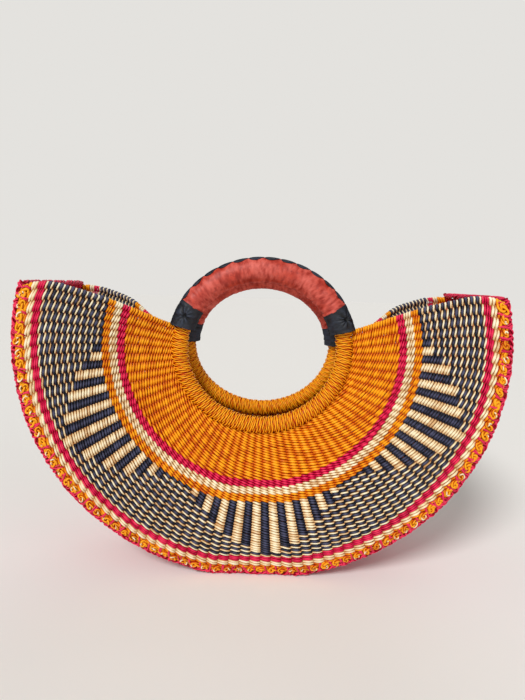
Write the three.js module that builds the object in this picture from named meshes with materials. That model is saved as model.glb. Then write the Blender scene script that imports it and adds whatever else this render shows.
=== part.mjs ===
// Half-moon straw basket. Two woven walls fan out from oval handle rings and are lashed
// along their curved edges to one gusset strip, which makes the base and the two sides.

import * as THREE from "three";

// Handle rings, in millimetres. Both stand over the same point and touch at their grips.
const ringCentreHeight = 235;
const frontRingHalfWidth = 85.6;
const backRingHalfWidth = 82.6;
const frontRingHalfHeight = 80.8;
const backRingHalfHeight = 74.3;
const ringSpread = 36;
const gripTouchGap = 0.7;

// Outline of the walls and of the strip that joins them
const seamHalfWidth = 231.5;
const seamDrop = 239.5;
const baseWidth = 92;
const mouthWidth = 150;
const weaveThickness = 4.2;
const gussetThickness = 3;
const basePanelShare = 0.15;
const bellyBulge = 18;
const sideBulge = 12;
const bellyFocus = 4;

// The mouth's edge, as an angle above the level of the ring's centre, in degrees
const frontEdgeAngleAtRing = 12.8;
const frontEdgeAngleRise = 4.9;
const backEdgeAngleAtRing = 0.5;
const backEdgeAngleRise = 15.2;
const cornerAngle = 14.3;
const edgeRiseShare = 0.6;
const cornerRoundShare = 0.75;

// Widths of the coloured bands, counted from the ring outwards
const fieldWidth = 47;
const innerMagentaWidth = 7;
const innerNaturalWidth = 7.4;
const innerOrangeWidth = 7;
const patternWidth = 58.4;
const outerMagentaWidth = 6.8;
const outerNaturalWidth = 6;
const knotBorderWidth = 8;

// Section of the ring, from the hoop outwards
const hoopRadius = 6.8;
const strawWrapRadius = 9.2;
const paddingRadius = 10.9;
const leatherRadius = 12.8;
const cuffRadius = 13.5;
const lacingThickness = 1.6;
const lacingWidth = 7;
const hoopEndGap = 0.6;

// The cuffs' places on the ring, in degrees above the level of its centre
const frontCuffStartAngle = 13.8;
const backCuffStartAngle = 2;
const cuffSpanAngle = 17.4;

// Seams: the cord that lashes wall to gusset, and the rolled hem on each end of the gusset
const lashingRadius = 2.5;
const lashingLift = 0.6;
const hemRadius = 3.6;

// Space left between pieces that touch
const touchGap = 0.35;
const ringEdgeGap = 1;
const seamEdgeGap = 1;

// Smoothness: how many flat steps stand for a curve
const wallSteps = 36;
const seamSteps = 56;
const degreesPerRingStep = 7.5;
const hoopSides = 6;
const roundSides = 10;
const cordSides = 8;

const FRONT = -1;
const BACK = 1;
const radians = THREE.MathUtils.degToRad;

function finish(name, colour, roughness) {
  return new THREE.MeshStandardMaterial({ name, color: colour, roughness, metalness: 0 });
}

const straw = {
  orange: finish("straw_orange", 0xe58a12, 0.62),
  magenta: finish("straw_magenta", 0xb01245, 0.62),
  natural: finish("straw_natural", 0xe6c690, 0.6),
  pattern: finish("straw_black_and_natural", 0x4a4650, 0.62),
};
const leather = {
  red: finish("leather_red", 0xbd4a3c, 0.5),
  black: finish("leather_black", 0x20232a, 0.45),
};
const hidden = {
  hoop: finish("bent_cane", 0x9c7440, 0.7),
  padding: finish("grip_padding", 0xb99f70, 0.9),
};

// A named mesh, turned so that its faces point outwards
function piece(name, geometry, material) {
  if (!geometry.index) {
    geometry.computeVertexNormals();
    return namedMesh(name, geometry, material);
  }
  const index = geometry.index.array;
  const places = geometry.attributes.position;
  const corner = [new THREE.Vector3(), new THREE.Vector3(), new THREE.Vector3()];
  let volume = 0;
  for (let i = 0; i < index.length; i += 3) {
    corner.forEach((point, k) => point.fromBufferAttribute(places, index[i + k]));
    volume += corner[0].dot(corner[1].clone().cross(corner[2]));
  }
  if (volume < 0) {
    for (let i = 0; i < index.length; i += 3) {
      [index[i + 1], index[i + 2]] = [index[i + 2], index[i + 1]];
    }
  }
  geometry.computeVertexNormals();
  return namedMesh(name, geometry, material);
}

function namedMesh(name, geometry, material) {
  const mesh = new THREE.Mesh(geometry, material);
  mesh.name = name;
  return mesh;
}

// A closed body through a row of loops, each a list of the same even number of points
function loft(loops) {
  const count = loops[0].length;
  const last = (loops.length - 1) * count;
  const faces = [];
  const quad = (a, b, c, d) => faces.push(a, b, c, a, c, d);
  for (let i = 0; i < last; i += count) {
    for (let j = 0; j < count; j++) {
      const k = (j + 1) % count;
      quad(i + j, i + k, i + count + k, i + count + j);
    }
  }
  for (let j = 0; j < count / 2 - 1; j++) {
    quad(j, count - 1 - j, count - 2 - j, j + 1);
    quad(last + j, last + j + 1, last + count - 2 - j, last + count - 1 - j);
  }
  const geometry = new THREE.BufferGeometry().setFromPoints(loops.flat());
  return geometry.setIndex(faces);
}

// Size of a ring from its centre to the middle of its tube, and its lean from upright
function ringHalfWidth(side) {
  return side === FRONT ? frontRingHalfWidth : backRingHalfWidth;
}

function ringHalfHeight(side) {
  return side === FRONT ? frontRingHalfHeight : backRingHalfHeight;
}

function ringLean(side) {
  const inward = (ringSpread - gripTouchGap) / 2 - leatherRadius;
  return Math.asin(inward / ringHalfHeight(side));
}

// A point beside the ring in its own plane, out from the middle of its tube
function ringPoint(side, angle, out) {
  const wide = ringHalfWidth(side);
  const high = ringHalfHeight(side);
  const normal = new THREE.Vector2(high * Math.cos(angle), wide * Math.sin(angle)).normalize();
  const x = wide * Math.cos(angle) + out * normal.x;
  const z = high * Math.sin(angle) + out * normal.y;
  return new THREE.Vector3(x, 0, z);
}

// The middle line of a ring's tube between two angles
class RingArc extends THREE.Curve {
  constructor(side, from, to) {
    super();
    Object.assign(this, { side, from, to });
  }

  getPoint(t) {
    return ringPoint(this.side, THREE.MathUtils.lerp(this.from, this.to, t), 0);
  }
}

function polygon(radius, sides) {
  const points = [];
  for (let i = 0; i < sides; i++) {
    const turn = (i / sides) * 2 * Math.PI;
    points.push(new THREE.Vector2(radius * Math.cos(turn), radius * Math.sin(turn)));
  }
  return points;
}

function alongArc(section, side, fromDegrees, toDegrees) {
  return new THREE.ExtrudeGeometry(section, {
    steps: Math.ceil((toDegrees - fromDegrees) / degreesPerRingStep),
    bevelEnabled: false,
    extrudePath: new RingArc(side, radians(fromDegrees), radians(toDegrees)),
  });
}

function sleeveSection(radius, boreRadius, boreSides) {
  const section = new THREE.Shape(polygon(radius, roundSides));
  section.holes.push(new THREE.Path(polygon(boreRadius, boreSides)));
  return section;
}

// A flat strip that lies on the leather, along the outside of the ring
function lacingSection() {
  const low = leatherRadius + touchGap;
  const halfTurn = lacingWidth / 2 / low;
  const points = [];
  for (const turn of [-halfTurn, 0, halfTurn]) {
    points.push(new THREE.Vector2(low * Math.sin(turn), low * Math.cos(turn)));
  }
  for (const turn of [halfTurn / 2, 0, -halfTurn / 2]) {
    const top = low + lacingThickness;
    points.push(new THREE.Vector2(top * Math.sin(turn), top * Math.cos(turn)));
  }
  return new THREE.Shape(points);
}

// Everything that lies on one handle ring: hoop, straw wrap, leather grip and cuffs
function handleRing(side, prefix) {
  const ring = new THREE.Group();
  ring.position.set(0, (side * ringSpread) / 2, ringCentreHeight);
  ring.rotation.x = side * ringLean(side);

  const ringAngle = (length) => THREE.MathUtils.radToDeg(length / ringHalfWidth(side));
  const gap = ringAngle(touchGap);
  const cuffStart = side === FRONT ? frontCuffStartAngle : backCuffStartAngle;
  const cuffEnd = cuffStart + cuffSpanAngle;
  const hoopBore = hoopRadius + touchGap;
  const add = (name, section, from, to, material) =>
    ring.add(piece(prefix + name, alongArc(section, side, from, to), material));

  const topCentre = 90;
  const fullTurn = 360;
  const halfTurn = fullTurn / 2;
  const halfCut = ringAngle(hoopEndGap) / 2;
  const hoop = new THREE.Shape(polygon(hoopRadius, hoopSides));
  add("hoop", hoop, topCentre + halfCut, topCentre + fullTurn - halfCut, hidden.hoop);

  const wrap = sleeveSection(strawWrapRadius, hoopBore, hoopSides);
  const wrapStart = halfTurn - cuffStart + gap;
  add("ring_wrap", wrap, wrapStart, fullTurn + cuffStart - gap, straw.orange);

  const padding = sleeveSection(paddingRadius, hoopBore, hoopSides);
  add("grip_padding", padding, cuffEnd + gap, halfTurn - cuffEnd - gap, hidden.padding);

  const grip = sleeveSection(leatherRadius, paddingRadius + touchGap, roundSides);
  add("grip_leather", grip, cuffEnd + gap, halfTurn - cuffEnd - gap, leather.red);
  add("grip_lacing", lacingSection(), cuffEnd + gap, halfTurn - cuffEnd - gap, leather.black);

  const cuff = sleeveSection(cuffRadius, hoopBore, hoopSides);
  add("cuff_right", cuff, cuffStart, cuffEnd, leather.black);
  add("cuff_left", cuff, halfTurn - cuffEnd, halfTurn - cuffStart, leather.black);
  return ring;
}

// How far the gusset's outer skin lies from the rings' common axis: an oval, flat on the table
function seamReach(angle) {
  const oval = 1 / Math.hypot(Math.cos(angle) / seamHalfWidth, Math.sin(angle) / seamDrop);
  const below = -Math.sin(angle);
  return below > 0 ? Math.min(oval, ringCentreHeight / below) : oval;
}

function seamHalfDepth(angle) {
  const sideways = Math.cos(angle) ** 2;
  return THREE.MathUtils.lerp(baseWidth, mouthWidth, sideways) / 2;
}

function polar(angle, reach, y) {
  return new THREE.Vector3(
    reach * Math.cos(angle),
    y,
    ringCentreHeight + reach * Math.sin(angle),
  );
}

// Angle of the mouth's edge at a share of the way from ring to seam, where it is rounded off
function edgeAngle(side, share) {
  const atRing = side === FRONT ? frontEdgeAngleAtRing : backEdgeAngleAtRing;
  const full = side === FRONT ? frontEdgeAngleRise : backEdgeAngleRise;
  const rise = full * Math.sin((Math.min(share / edgeRiseShare, 1) * Math.PI) / 2);
  const round = Math.max(0, (share - cornerRoundShare) / (1 - cornerRoundShare)) ** 2;
  return radians(THREE.MathUtils.lerp(atRing + rise, cornerAngle, round));
}

// Angle of a spoke: along runs from 0 at the left end of the mouth to 1 at the right end
function spokeAngle(along, edge) {
  return -Math.PI / 2 + (Math.PI / 2 + edge) * (2 * along - 1);
}

function seamAngle(along) {
  return spokeAngle(along, radians(cornerAngle));
}

// The belly is fullest two thirds of the way from ring to seam
const fullestShare = 2 / 3;
const fullestSwell = fullestShare ** 2 * (1 - fullestShare);

// Middle of the wall's thickness. Share runs from 0 at the ring to 1 at the seam.
function wallMiddle(side, along, share) {
  const angle = spokeAngle(along, edgeAngle(side, share));
  const beside = ringPoint(side, angle, strawWrapRadius + ringEdgeGap);
  const lean = ringLean(side);
  const inner = new THREE.Vector3(
    beside.x,
    side * (ringSpread / 2 - beside.z * Math.sin(lean)),
    ringCentreHeight + beside.z * Math.cos(lean),
  );
  const reach = seamReach(angle) - lashingLift - 2 * lashingRadius - seamEdgeGap;
  const outer = polar(angle, reach, side * seamHalfDepth(angle));
  const point = inner.lerp(outer, share);
  const below = Math.max(0, -Math.sin(angle));
  const swell = (share ** 2 * (1 - share)) / fullestSwell;
  const bulge = THREE.MathUtils.lerp(sideBulge, bellyBulge, below ** bellyFocus);
  point.y += side * bulge * swell;
  return point;
}

// Share of the wall between two points whose difference gives its slope
const slopeStepShare = 1e-3;

// A point beside the middle of the wall, on its outer face when out is above zero
function wallPoint(side, along, share, out) {
  const step = slopeStepShare;
  const shareLow = Math.max(0, share - step);
  const shareHigh = Math.min(1, share + step);
  const alongLow = Math.max(0, along - step);
  const alongHigh = Math.min(1, along + step);
  const across = wallMiddle(side, along, shareHigh).sub(wallMiddle(side, along, shareLow));
  const round = wallMiddle(side, alongHigh, share).sub(wallMiddle(side, alongLow, share));
  const normal = across.cross(round).normalize();
  if (normal.y * side < 0) normal.negate();
  return wallMiddle(side, along, share).addScaledVector(normal, out);
}

const weaveBands = [
  { name: "field", width: fieldWidth, rows: 3, material: straw.orange },
  { name: "inner_magenta_band", width: innerMagentaWidth, rows: 1, material: straw.magenta },
  { name: "inner_natural_band", width: innerNaturalWidth, rows: 1, material: straw.natural },
  { name: "inner_orange_band", width: innerOrangeWidth, rows: 1, material: straw.orange },
  { name: "pattern_band", width: patternWidth, rows: 4, material: straw.pattern },
  { name: "outer_magenta_band", width: outerMagentaWidth, rows: 1, material: straw.magenta },
  { name: "outer_natural_band", width: outerNaturalWidth, rows: 1, material: straw.natural },
  { name: "knot_border", width: knotBorderWidth, rows: 2, material: straw.orange },
];

// One coloured band of the wall, between two shares of the way from ring to seam
function bandGeometry(side, from, to, rows) {
  const loops = [];
  for (let i = 0; i <= wallSteps; i++) {
    const outerFace = [];
    const innerFace = [];
    for (let j = 0; j <= rows; j++) {
      const share = THREE.MathUtils.lerp(from, to, j / rows);
      outerFace.push(wallPoint(side, i / wallSteps, share, weaveThickness / 2));
      innerFace.unshift(wallPoint(side, i / wallSteps, share, -weaveThickness / 2));
    }
    loops.push([...outerFace, ...innerFace]);
  }
  return loft(loops);
}

function wovenWall(side, prefix) {
  const wall = new THREE.Group();
  const total = weaveBands.reduce((sum, band) => sum + band.width, 0);
  let start = 0;
  for (const band of weaveBands) {
    const from = start === 0 ? 0 : (start + touchGap / 2) / total;
    const end = start + band.width;
    const to = end >= total ? 1 : (end - touchGap / 2) / total;
    wall.add(piece(prefix + band.name, bandGeometry(side, from, to, band.rows), band.material));
    start = end;
  }
  return wall;
}

// How far the seam runs on past the gusset's end, to lie beside the hem there
function hemAngle() {
  return (2 * hemRadius + touchGap) / seamHalfWidth;
}

// The cord that whips a wall's rim to the edge of the gusset
class SeamCurve extends THREE.Curve {
  constructor(side) {
    super();
    this.side = side;
  }

  getPoint(t) {
    const spread = hemAngle() * (2 * t - 1);
    const angle = seamAngle(t) + spread;
    const reach = seamReach(angle) - lashingLift - lashingRadius;
    return polar(angle, reach, this.side * seamHalfDepth(angle));
  }
}

function seamLashing(side, prefix) {
  const geometry = new THREE.ExtrudeGeometry(new THREE.Shape(polygon(lashingRadius, cordSides)), {
    steps: seamSteps,
    bevelEnabled: false,
    extrudePath: new SeamCurve(side),
  });
  return piece(prefix + "seam_lashing", geometry, straw.magenta);
}

function gussetHalfWidth(angle) {
  return seamHalfDepth(angle) - lashingRadius - touchGap;
}

// One panel of the gusset, between two shares of the way from mouth to mouth
function gussetPanel(name, start, end) {
  const steps = Math.round(seamSteps * (end - start));
  const loops = [];
  for (let i = 0; i <= steps; i++) {
    const angle = seamAngle(THREE.MathUtils.lerp(start, end, i / steps));
    const half = gussetHalfWidth(angle);
    const outside = seamReach(angle);
    const inside = outside - gussetThickness;
    loops.push([
      polar(angle, outside, -half),
      polar(angle, outside, half),
      polar(angle, inside, half),
      polar(angle, inside, -half),
    ]);
  }
  return piece(name, loft(loops), straw.magenta);
}

// The rolled hem that closes the top of the gusset at one end of the mouth
function gussetHem(name, angle, onward) {
  const beyond = angle + (onward * (hemRadius + touchGap)) / seamHalfWidth;
  const length = 2 * gussetHalfWidth(beyond);
  const hem = piece(
    name,
    new THREE.CylinderGeometry(hemRadius, hemRadius, length, cordSides),
    straw.magenta,
  );
  hem.position.copy(polar(beyond, seamReach(beyond) - hemRadius, 0));
  return hem;
}

const basket = new THREE.Group();
const baseStart = (1 - basePanelShare) / 2;
const baseEnd = 1 - baseStart;
const panelGap = touchGap / (seamDrop * (seamAngle(1) - seamAngle(0)));
basket.add(gussetPanel("gusset_base", baseStart, baseEnd));
basket.add(gussetPanel("gusset_side_left", 0, baseStart - panelGap));
basket.add(gussetPanel("gusset_side_right", baseEnd + panelGap, 1));
basket.add(gussetHem("gusset_hem_left", seamAngle(0), -1));
basket.add(gussetHem("gusset_hem_right", seamAngle(1), 1));
for (const [side, prefix] of [[FRONT, "front_"], [BACK, "back_"]]) {
  basket.add(handleRing(side, prefix));
  basket.add(wovenWall(side, prefix));
  basket.add(seamLashing(side, prefix));
}

export default basket;
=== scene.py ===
"""A half-moon straw handbag: two twined walls round oval handle rings, with leather grips."""

import math

import bpy
import numpy as np
from mathutils import Matrix, Vector, noise


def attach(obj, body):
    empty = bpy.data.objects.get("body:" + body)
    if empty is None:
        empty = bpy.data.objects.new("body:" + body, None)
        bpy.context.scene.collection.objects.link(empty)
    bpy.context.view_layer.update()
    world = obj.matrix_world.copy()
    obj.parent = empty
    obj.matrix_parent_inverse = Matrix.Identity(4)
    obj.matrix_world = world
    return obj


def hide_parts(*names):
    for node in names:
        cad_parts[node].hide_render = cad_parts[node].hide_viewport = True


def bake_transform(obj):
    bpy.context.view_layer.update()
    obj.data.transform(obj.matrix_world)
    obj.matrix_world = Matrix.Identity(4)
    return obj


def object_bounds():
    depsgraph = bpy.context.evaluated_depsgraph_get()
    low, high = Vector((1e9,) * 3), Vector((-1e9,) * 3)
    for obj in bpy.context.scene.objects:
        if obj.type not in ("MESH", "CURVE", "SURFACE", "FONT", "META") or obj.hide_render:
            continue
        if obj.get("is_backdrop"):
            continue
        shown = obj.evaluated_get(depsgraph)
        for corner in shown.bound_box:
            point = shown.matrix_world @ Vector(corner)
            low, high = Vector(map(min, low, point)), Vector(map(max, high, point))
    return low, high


bl_info = {
    "name": "Half-moon straw basket",
    "version": (1, 0, 0),
    "blender": (4, 5, 0),
    "location": "3D View > Sidebar > Basket",
    "description": "Weaves a half-moon straw handbag round its packed solids",
    "category": "Object",
}

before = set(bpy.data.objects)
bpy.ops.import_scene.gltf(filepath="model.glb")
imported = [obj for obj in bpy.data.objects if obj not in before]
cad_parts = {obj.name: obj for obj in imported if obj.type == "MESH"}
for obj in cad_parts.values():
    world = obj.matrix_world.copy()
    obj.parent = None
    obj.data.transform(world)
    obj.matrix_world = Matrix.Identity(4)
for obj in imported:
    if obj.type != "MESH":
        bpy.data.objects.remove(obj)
CAD_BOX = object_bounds()

FRONT, BACK = -1, 1
WALLS = {FRONT: "front", BACK: "back"}
MM = 0.001
HALF_TURN = math.pi
FULL_TURN = 2 * math.pi
NUDGE = 1e-3

# The basket's own shape, as its solids have it
RING_HEIGHT = 235 * MM
RING_HALF_WIDTH = {FRONT: 85.6 * MM, BACK: 82.6 * MM}
RING_HALF_HEIGHT = {FRONT: 80.8 * MM, BACK: 74.3 * MM}
RING_SPREAD = 36 * MM
GRIP_GAP = 0.7 * MM
WRAP_RADIUS = 9.2 * MM
LEATHER_RADIUS = 12.8 * MM
CUFF_RADIUS = 13.5 * MM
RING_EDGE_GAP = 1 * MM
SEAM_HALF_WIDTH = 231.5 * MM
SEAM_DROP = 239.5 * MM
BASE_WIDTH = 92 * MM
MOUTH_WIDTH = 150 * MM
LASHING_RADIUS = 2.5 * MM
LASHING_LIFT = 0.6 * MM
SEAM_GAP = 1 * MM
HEM_RADIUS = 3.6 * MM
BELLY_BULGE = 18 * MM
SIDE_BULGE = 12 * MM
BELLY_FOCUS = 4
FULLEST_SHARE = 2 / 3
FULLEST_SWELL = FULLEST_SHARE**2 * (1 - FULLEST_SHARE)
EDGE_ANGLE_AT_RING = {FRONT: 12.8, BACK: 0.5}
EDGE_ANGLE_RISE = {FRONT: 4.9, BACK: 15.2}
CORNER_ANGLE = 14.3
EDGE_RISE_SHARE = 0.6
CORNER_ROUND_SHARE = 0.75
CUFF_START = {FRONT: math.radians(13.8), BACK: math.radians(2)}
CUFF_SPAN = math.radians(17.4)
LEAST_DROP = 1e-6

# Bands of the wall from the ring outwards: name, width in millimetres, rows, spokes, finish
FIELD_SPOKES = 50
BAND_SPOKES = 74
BANDS = [
    ("field", 47, 18, FIELD_SPOKES, "orange"),
    ("inner_magenta_band", 7, 3, BAND_SPOKES, "magenta"),
    ("inner_natural_band", 7.4, 3, BAND_SPOKES, "natural"),
    ("inner_orange_band", 7, 3, BAND_SPOKES, "orange"),
    ("pattern_band", 58.4, 22, BAND_SPOKES, "pattern"),
    ("outer_magenta_band", 6.8, 3, BAND_SPOKES, "magenta"),
    ("outer_natural_band", 6, 2, BAND_SPOKES, "natural"),
    ("knot_border", 8, 3, BAND_SPOKES, "orange"),
]
WALL_WIDTH = sum(band[1] for band in BANDS)
RING_OVERLAP_SHARE = 2 / WALL_WIDTH
SEAM_OVERLAP_SHARE = 1.6 / WALL_WIDTH

# Stepped triangles of the pattern band: the spokes of their tips, and how their bars shorten
TRIANGLE_TIPS = (15, 38, 61)
TRIANGLE_HALF_WIDTH = 9
LONGEST_BAR_ROWS = 20.8
BAR_STEP_ROWS = 2.05

# Seeds of all that is drawn by chance, so that every run gives the same basket
DRAW_SEEDS = {"spokes": 7, "rim_knots": 31, "lashing": 51, "gusset": 71, "hems": 91,
              "rings": 111, "grips": 131}
BAND_SEEDS = {FRONT: 100, BACK: 300}
STRAW_SEEDS = {"bands": 1, "spokes": 3, "knots": 5, "lashing": 7, "stitches": 8, "gusset": 11,
               "gusset_spokes": 12, "hems": 13, "ring_winding": 17, "ring_core": 18}
LACE_SEED = 5


# Sizes and colours that a user can change

def length_property(name, description, default, least=0):
    return bpy.props.FloatProperty(
        name=name, description=description, default=default, min=least, unit="LENGTH", precision=4)


def share_property(name, description, default, least=0, most=1):
    return bpy.props.FloatProperty(
        name=name, description=description, default=default, min=least, max=most, subtype="FACTOR")


def colour_property(name, description, hex_colour):
    """A colour of linear light, which starts as the sRGB hex colour."""
    parts = [int(hex_colour[i:i + 2], 16) / 255 for i in (0, 2, 4)]
    linear = [p / 12.92 if p <= 0.04045 else ((p + 0.055) / 1.055) ** 2.4 for p in parts]
    return bpy.props.FloatVectorProperty(
        name=name, description=description, default=linear, size=3, min=0, max=1, subtype="COLOR")


class BasketSizes(bpy.types.PropertyGroup):
    """Sizes of the straw work and the leather."""

    weave_depth: length_property(
        "Weave Depth", "How far a straw stands off the middle of the wall", 1.2 * MM)
    weave_rise: share_property(
        "Weave Rise", "Slant of a stitch, as a share of the row's width", 0.38)
    straw_fullness: share_property(
        "Straw Fullness", "Straw thickness as a share of the row's width", 1.04, 0.5, 1.5)
    spoke_radius: length_property(
        "Spoke Radius", "Radius of the hidden straws the rows go round", 1.0 * MM)
    wrap_turns: bpy.props.IntProperty(
        name="Ring Wrap Turns", description="Turns of twisted straw round each handle ring",
        default=100, min=10)
    wrap_straw: length_property(
        "Wrap Straw Radius", "Radius of one of the two straws twisted together", 0.82 * MM)
    lashing_straw: length_property(
        "Lashing Straw Radius", "Radius of the seam's magenta straw", 1.2 * MM)
    knot_radius: length_property(
        "Knot Radius", "Radius of a border knot's outer turn", 4.1 * MM)
    knot_straw: length_property(
        "Knot Straw Radius", "Radius of the straw in a border knot", 1.2 * MM)
    lace_pitch: length_property(
        "Lace Pitch", "Length of grip from one lace loop to the next", 16.6 * MM, MM)
    wrinkle_depth: length_property(
        "Wrinkle Depth", "Depth of the folds in the grip's leather", 0.6 * MM)


class BasketColours(bpy.types.PropertyGroup):
    """Colours of the straw, the leather and the stage."""

    orange: colour_property("Orange Straw", "Dyed straw of field, rings and knots", "EA8306")
    magenta: colour_property("Magenta Straw", "Dyed straw of bands, seams and gusset", "D90549")
    natural: colour_property("Natural Straw", "Undyed straw", "F2D6A4")
    black: colour_property("Black Straw", "Black dyed straw of the pattern", "242533")
    red_leather: colour_property("Red Leather", "Leather of the grips", "C63D27")
    black_leather: colour_property("Black Leather", "Leather of cuffs and lacing", "1C2029")
    cane: colour_property("Cane", "Bent cane of the hoops", "B88B52")
    floor: colour_property("Floor", "Plain floor and background", "F1EFEB")


def sizes():
    return bpy.context.scene.basket_sizes


def colours():
    return bpy.context.scene.basket_colours


# Shape of the rings, the walls and the gusset

def unit(v):
    return v / np.linalg.norm(v, axis=-1, keepdims=True)


def circling(turn, first, second):
    """Ways at those turns, from the first axis round towards the second."""
    return np.cos(turn)[:, None] * first + np.sin(turn)[:, None] * second


def run_along(line):
    """Length of the line up to each of its points."""
    return np.concatenate([[0], np.cumsum(np.linalg.norm(np.diff(line, axis=0), axis=1))])


def ring_lean(side):
    inward = (RING_SPREAD - GRIP_GAP) / 2 - LEATHER_RADIUS
    return side * math.asin(inward / RING_HALF_HEIGHT[side])


def ring_beside(side, angle, out):
    """Place beside the middle of the ring's tube, in the ring's own plane."""
    wide, high = RING_HALF_WIDTH[side], RING_HALF_HEIGHT[side]
    across, up = high * np.cos(angle), wide * np.sin(angle)
    length = np.hypot(across, up)
    x = wide * np.cos(angle) + out * across / length
    z = high * np.sin(angle) + out * up / length
    return x, z


def stand_up(side, x, y, z):
    """From the ring's own plane, y being its normal, to the basket's frame."""
    lean = ring_lean(side)
    turned_y = y * math.cos(lean) - z * math.sin(lean)
    turned_z = y * math.sin(lean) + z * math.cos(lean)
    middle = side * RING_SPREAD / 2
    return np.stack(np.broadcast_arrays(x, middle + turned_y, RING_HEIGHT + turned_z), axis=-1)


def tube_point(side, angle, turn, radius):
    """Point of the ring's tube. Turn 0 is its outer crest, a quarter turn its outward face."""
    x, z = ring_beside(side, angle, radius * np.cos(turn))
    return stand_up(side, x, side * radius * np.sin(turn), z)


def seam_reach(angle):
    oval = 1 / np.hypot(np.cos(angle) / SEAM_HALF_WIDTH, np.sin(angle) / SEAM_DROP)
    return np.minimum(oval, RING_HEIGHT / np.maximum(-np.sin(angle), LEAST_DROP))


def seam_half_depth(angle):
    sideways = np.cos(angle) ** 2
    return (BASE_WIDTH + (MOUTH_WIDTH - BASE_WIDTH) * sideways) / 2


def polar(angle, reach, y):
    x = reach * np.cos(angle)
    z = RING_HEIGHT + reach * np.sin(angle)
    return np.stack(np.broadcast_arrays(x, y, z), axis=-1)


def edge_angle(side, share):
    """Angle of the mouth's edge, which rises from the ring and rounds off at the corner."""
    rise = EDGE_ANGLE_RISE[side] * np.sin(np.minimum(share / EDGE_RISE_SHARE, 1) * HALF_TURN / 2)
    rounded = np.maximum(0, (share - CORNER_ROUND_SHARE) / (1 - CORNER_ROUND_SHARE)) ** 2
    angle = EDGE_ANGLE_AT_RING[side] + rise
    return np.radians(angle + (CORNER_ANGLE - angle) * rounded)


def spoke_angle(along, edge):
    return -HALF_TURN / 2 + (HALF_TURN / 2 + edge) * (2 * along - 1)


def seam_angle(along):
    return spoke_angle(along, math.radians(CORNER_ANGLE))


def wall_middle(side, along, share):
    """Middle of the wall: along from the left end of the mouth, share from ring to seam."""
    along, share = np.broadcast_arrays(np.asarray(along, float), np.asarray(share, float))
    angle = spoke_angle(along, edge_angle(side, share))
    x, z = ring_beside(side, angle, WRAP_RADIUS + RING_EDGE_GAP)
    inner = stand_up(side, x, 0, z)
    reach = seam_reach(angle) - LASHING_LIFT - 2 * LASHING_RADIUS - SEAM_GAP
    outer = polar(angle, reach, side * seam_half_depth(angle))
    point = inner + (outer - inner) * share[..., None]
    below = np.maximum(0, -np.sin(angle))
    swell = share**2 * (1 - share) / FULLEST_SWELL
    bulge = SIDE_BULGE + (BELLY_BULGE - SIDE_BULGE) * below**BELLY_FOCUS
    point[..., 1] += side * bulge * swell
    return point


def wall_axes(side, along, share):
    """Middle of the wall, and there the ways outwards, towards the seam, and along the row."""
    along = np.asarray(along, float)
    low, high = np.clip(along - NUDGE, 0, 1), np.clip(along + NUDGE, 0, 1)
    ahead = unit(wall_middle(side, high, share) - wall_middle(side, low, share))
    across = wall_middle(side, along, share + NUDGE) - wall_middle(side, along, share - NUDGE)
    normal = unit(np.cross(across, ahead))
    normal *= np.sign(normal[..., 1:2]) * side
    return wall_middle(side, along, share), normal, unit(across), ahead


def strip_axes(place, angle):
    """Ways outwards and along at that angle, for a line round the rim that place gives."""
    ahead = unit(place(angle + NUDGE) - place(angle - NUDGE))
    return unit(np.cross(np.array([0.0, 1.0, 0.0]), ahead)), ahead


def seam_axes(side, angle):
    """Middle of the seam's cord, and there the ways outwards and sideways."""
    def place(a):
        return polar(a, seam_reach(a) - LASHING_LIFT - LASHING_RADIUS, side * seam_half_depth(a))

    outward, ahead = strip_axes(place, angle)
    sideways = unit(np.cross(ahead, outward))
    sideways *= np.sign(sideways[..., 1:2]) * side
    return place(angle), outward, sideways


# Strands: lines of points, with what a straw needs at each of them

VECTOR_FACTS = ("swing", "lift")
PLAIN_FACTS = ("girth", "tone", "shade", "crest")


def strand(co, girth, swing=None, lift=None, tone=0.0, shade=0.0, crest=1.0, closed=False):
    """Points of a straw's middle line, its girth, how it swings and lifts off that line, and
    what colours it: its tone, its shade (a change of tone), and how far its crest is from a
    hollow, which sets where the straw material paints shade and a highlight."""
    count = len(co)
    blank = np.zeros((count, 3))
    plain = {"girth": girth, "tone": tone, "shade": shade, "crest": crest}
    return {
        "co": np.asarray(co, float),
        "swing": blank if swing is None else swing,
        "lift": blank if lift is None else lift,
        **{fact: np.broadcast_to(value, count) for fact, value in plain.items()},
        "closed": closed,
    }


def add_attribute(mesh, name, values, kind="FLOAT"):
    made = mesh.attributes.new(name, kind, "POINT")
    made.data.foreach_set("value" if kind == "FLOAT" else "vector", values.ravel())


def strands_mesh(name, strands):
    """The strands as one mesh of edges, with their facts as attributes."""
    edges, start = [], 0
    for s in strands:
        count = len(s["co"])
        first = np.arange(start, start + count - 1)
        edges.append(np.stack([first, first + 1], axis=1))
        if s["closed"]:
            edges.append(np.array([[start + count - 1, start]]))
        start += count
    mesh = bpy.data.meshes.new(name)
    mesh.from_pydata(np.concatenate([s["co"] for s in strands]), np.concatenate(edges), [])
    for facts, kind in ((VECTOR_FACTS, "FLOAT_VECTOR"), (PLAIN_FACTS, "FLOAT")):
        for fact in facts:
            add_attribute(mesh, fact, np.concatenate([s[fact] for s in strands]), kind)
    return mesh


# Node trees

def node(tree, kind, inputs=None, **settings):
    """A node in a tree, with its settings, and its inputs set or linked."""
    made = tree.nodes.new(kind)
    for key, value in settings.items():
        setattr(made, key, value)
    for key, value in (inputs or {}).items():
        if isinstance(value, bpy.types.NodeSocket):
            tree.links.new(value, made.inputs[key])
        else:
            made.inputs[key].default_value = value
    return made


def after(tree, kind, geometry, inputs=None, **settings):
    """The geometry as it comes out of a node of that kind."""
    return node(tree, kind, {"Geometry": geometry, **(inputs or {})}, **settings).outputs[0]


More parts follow.
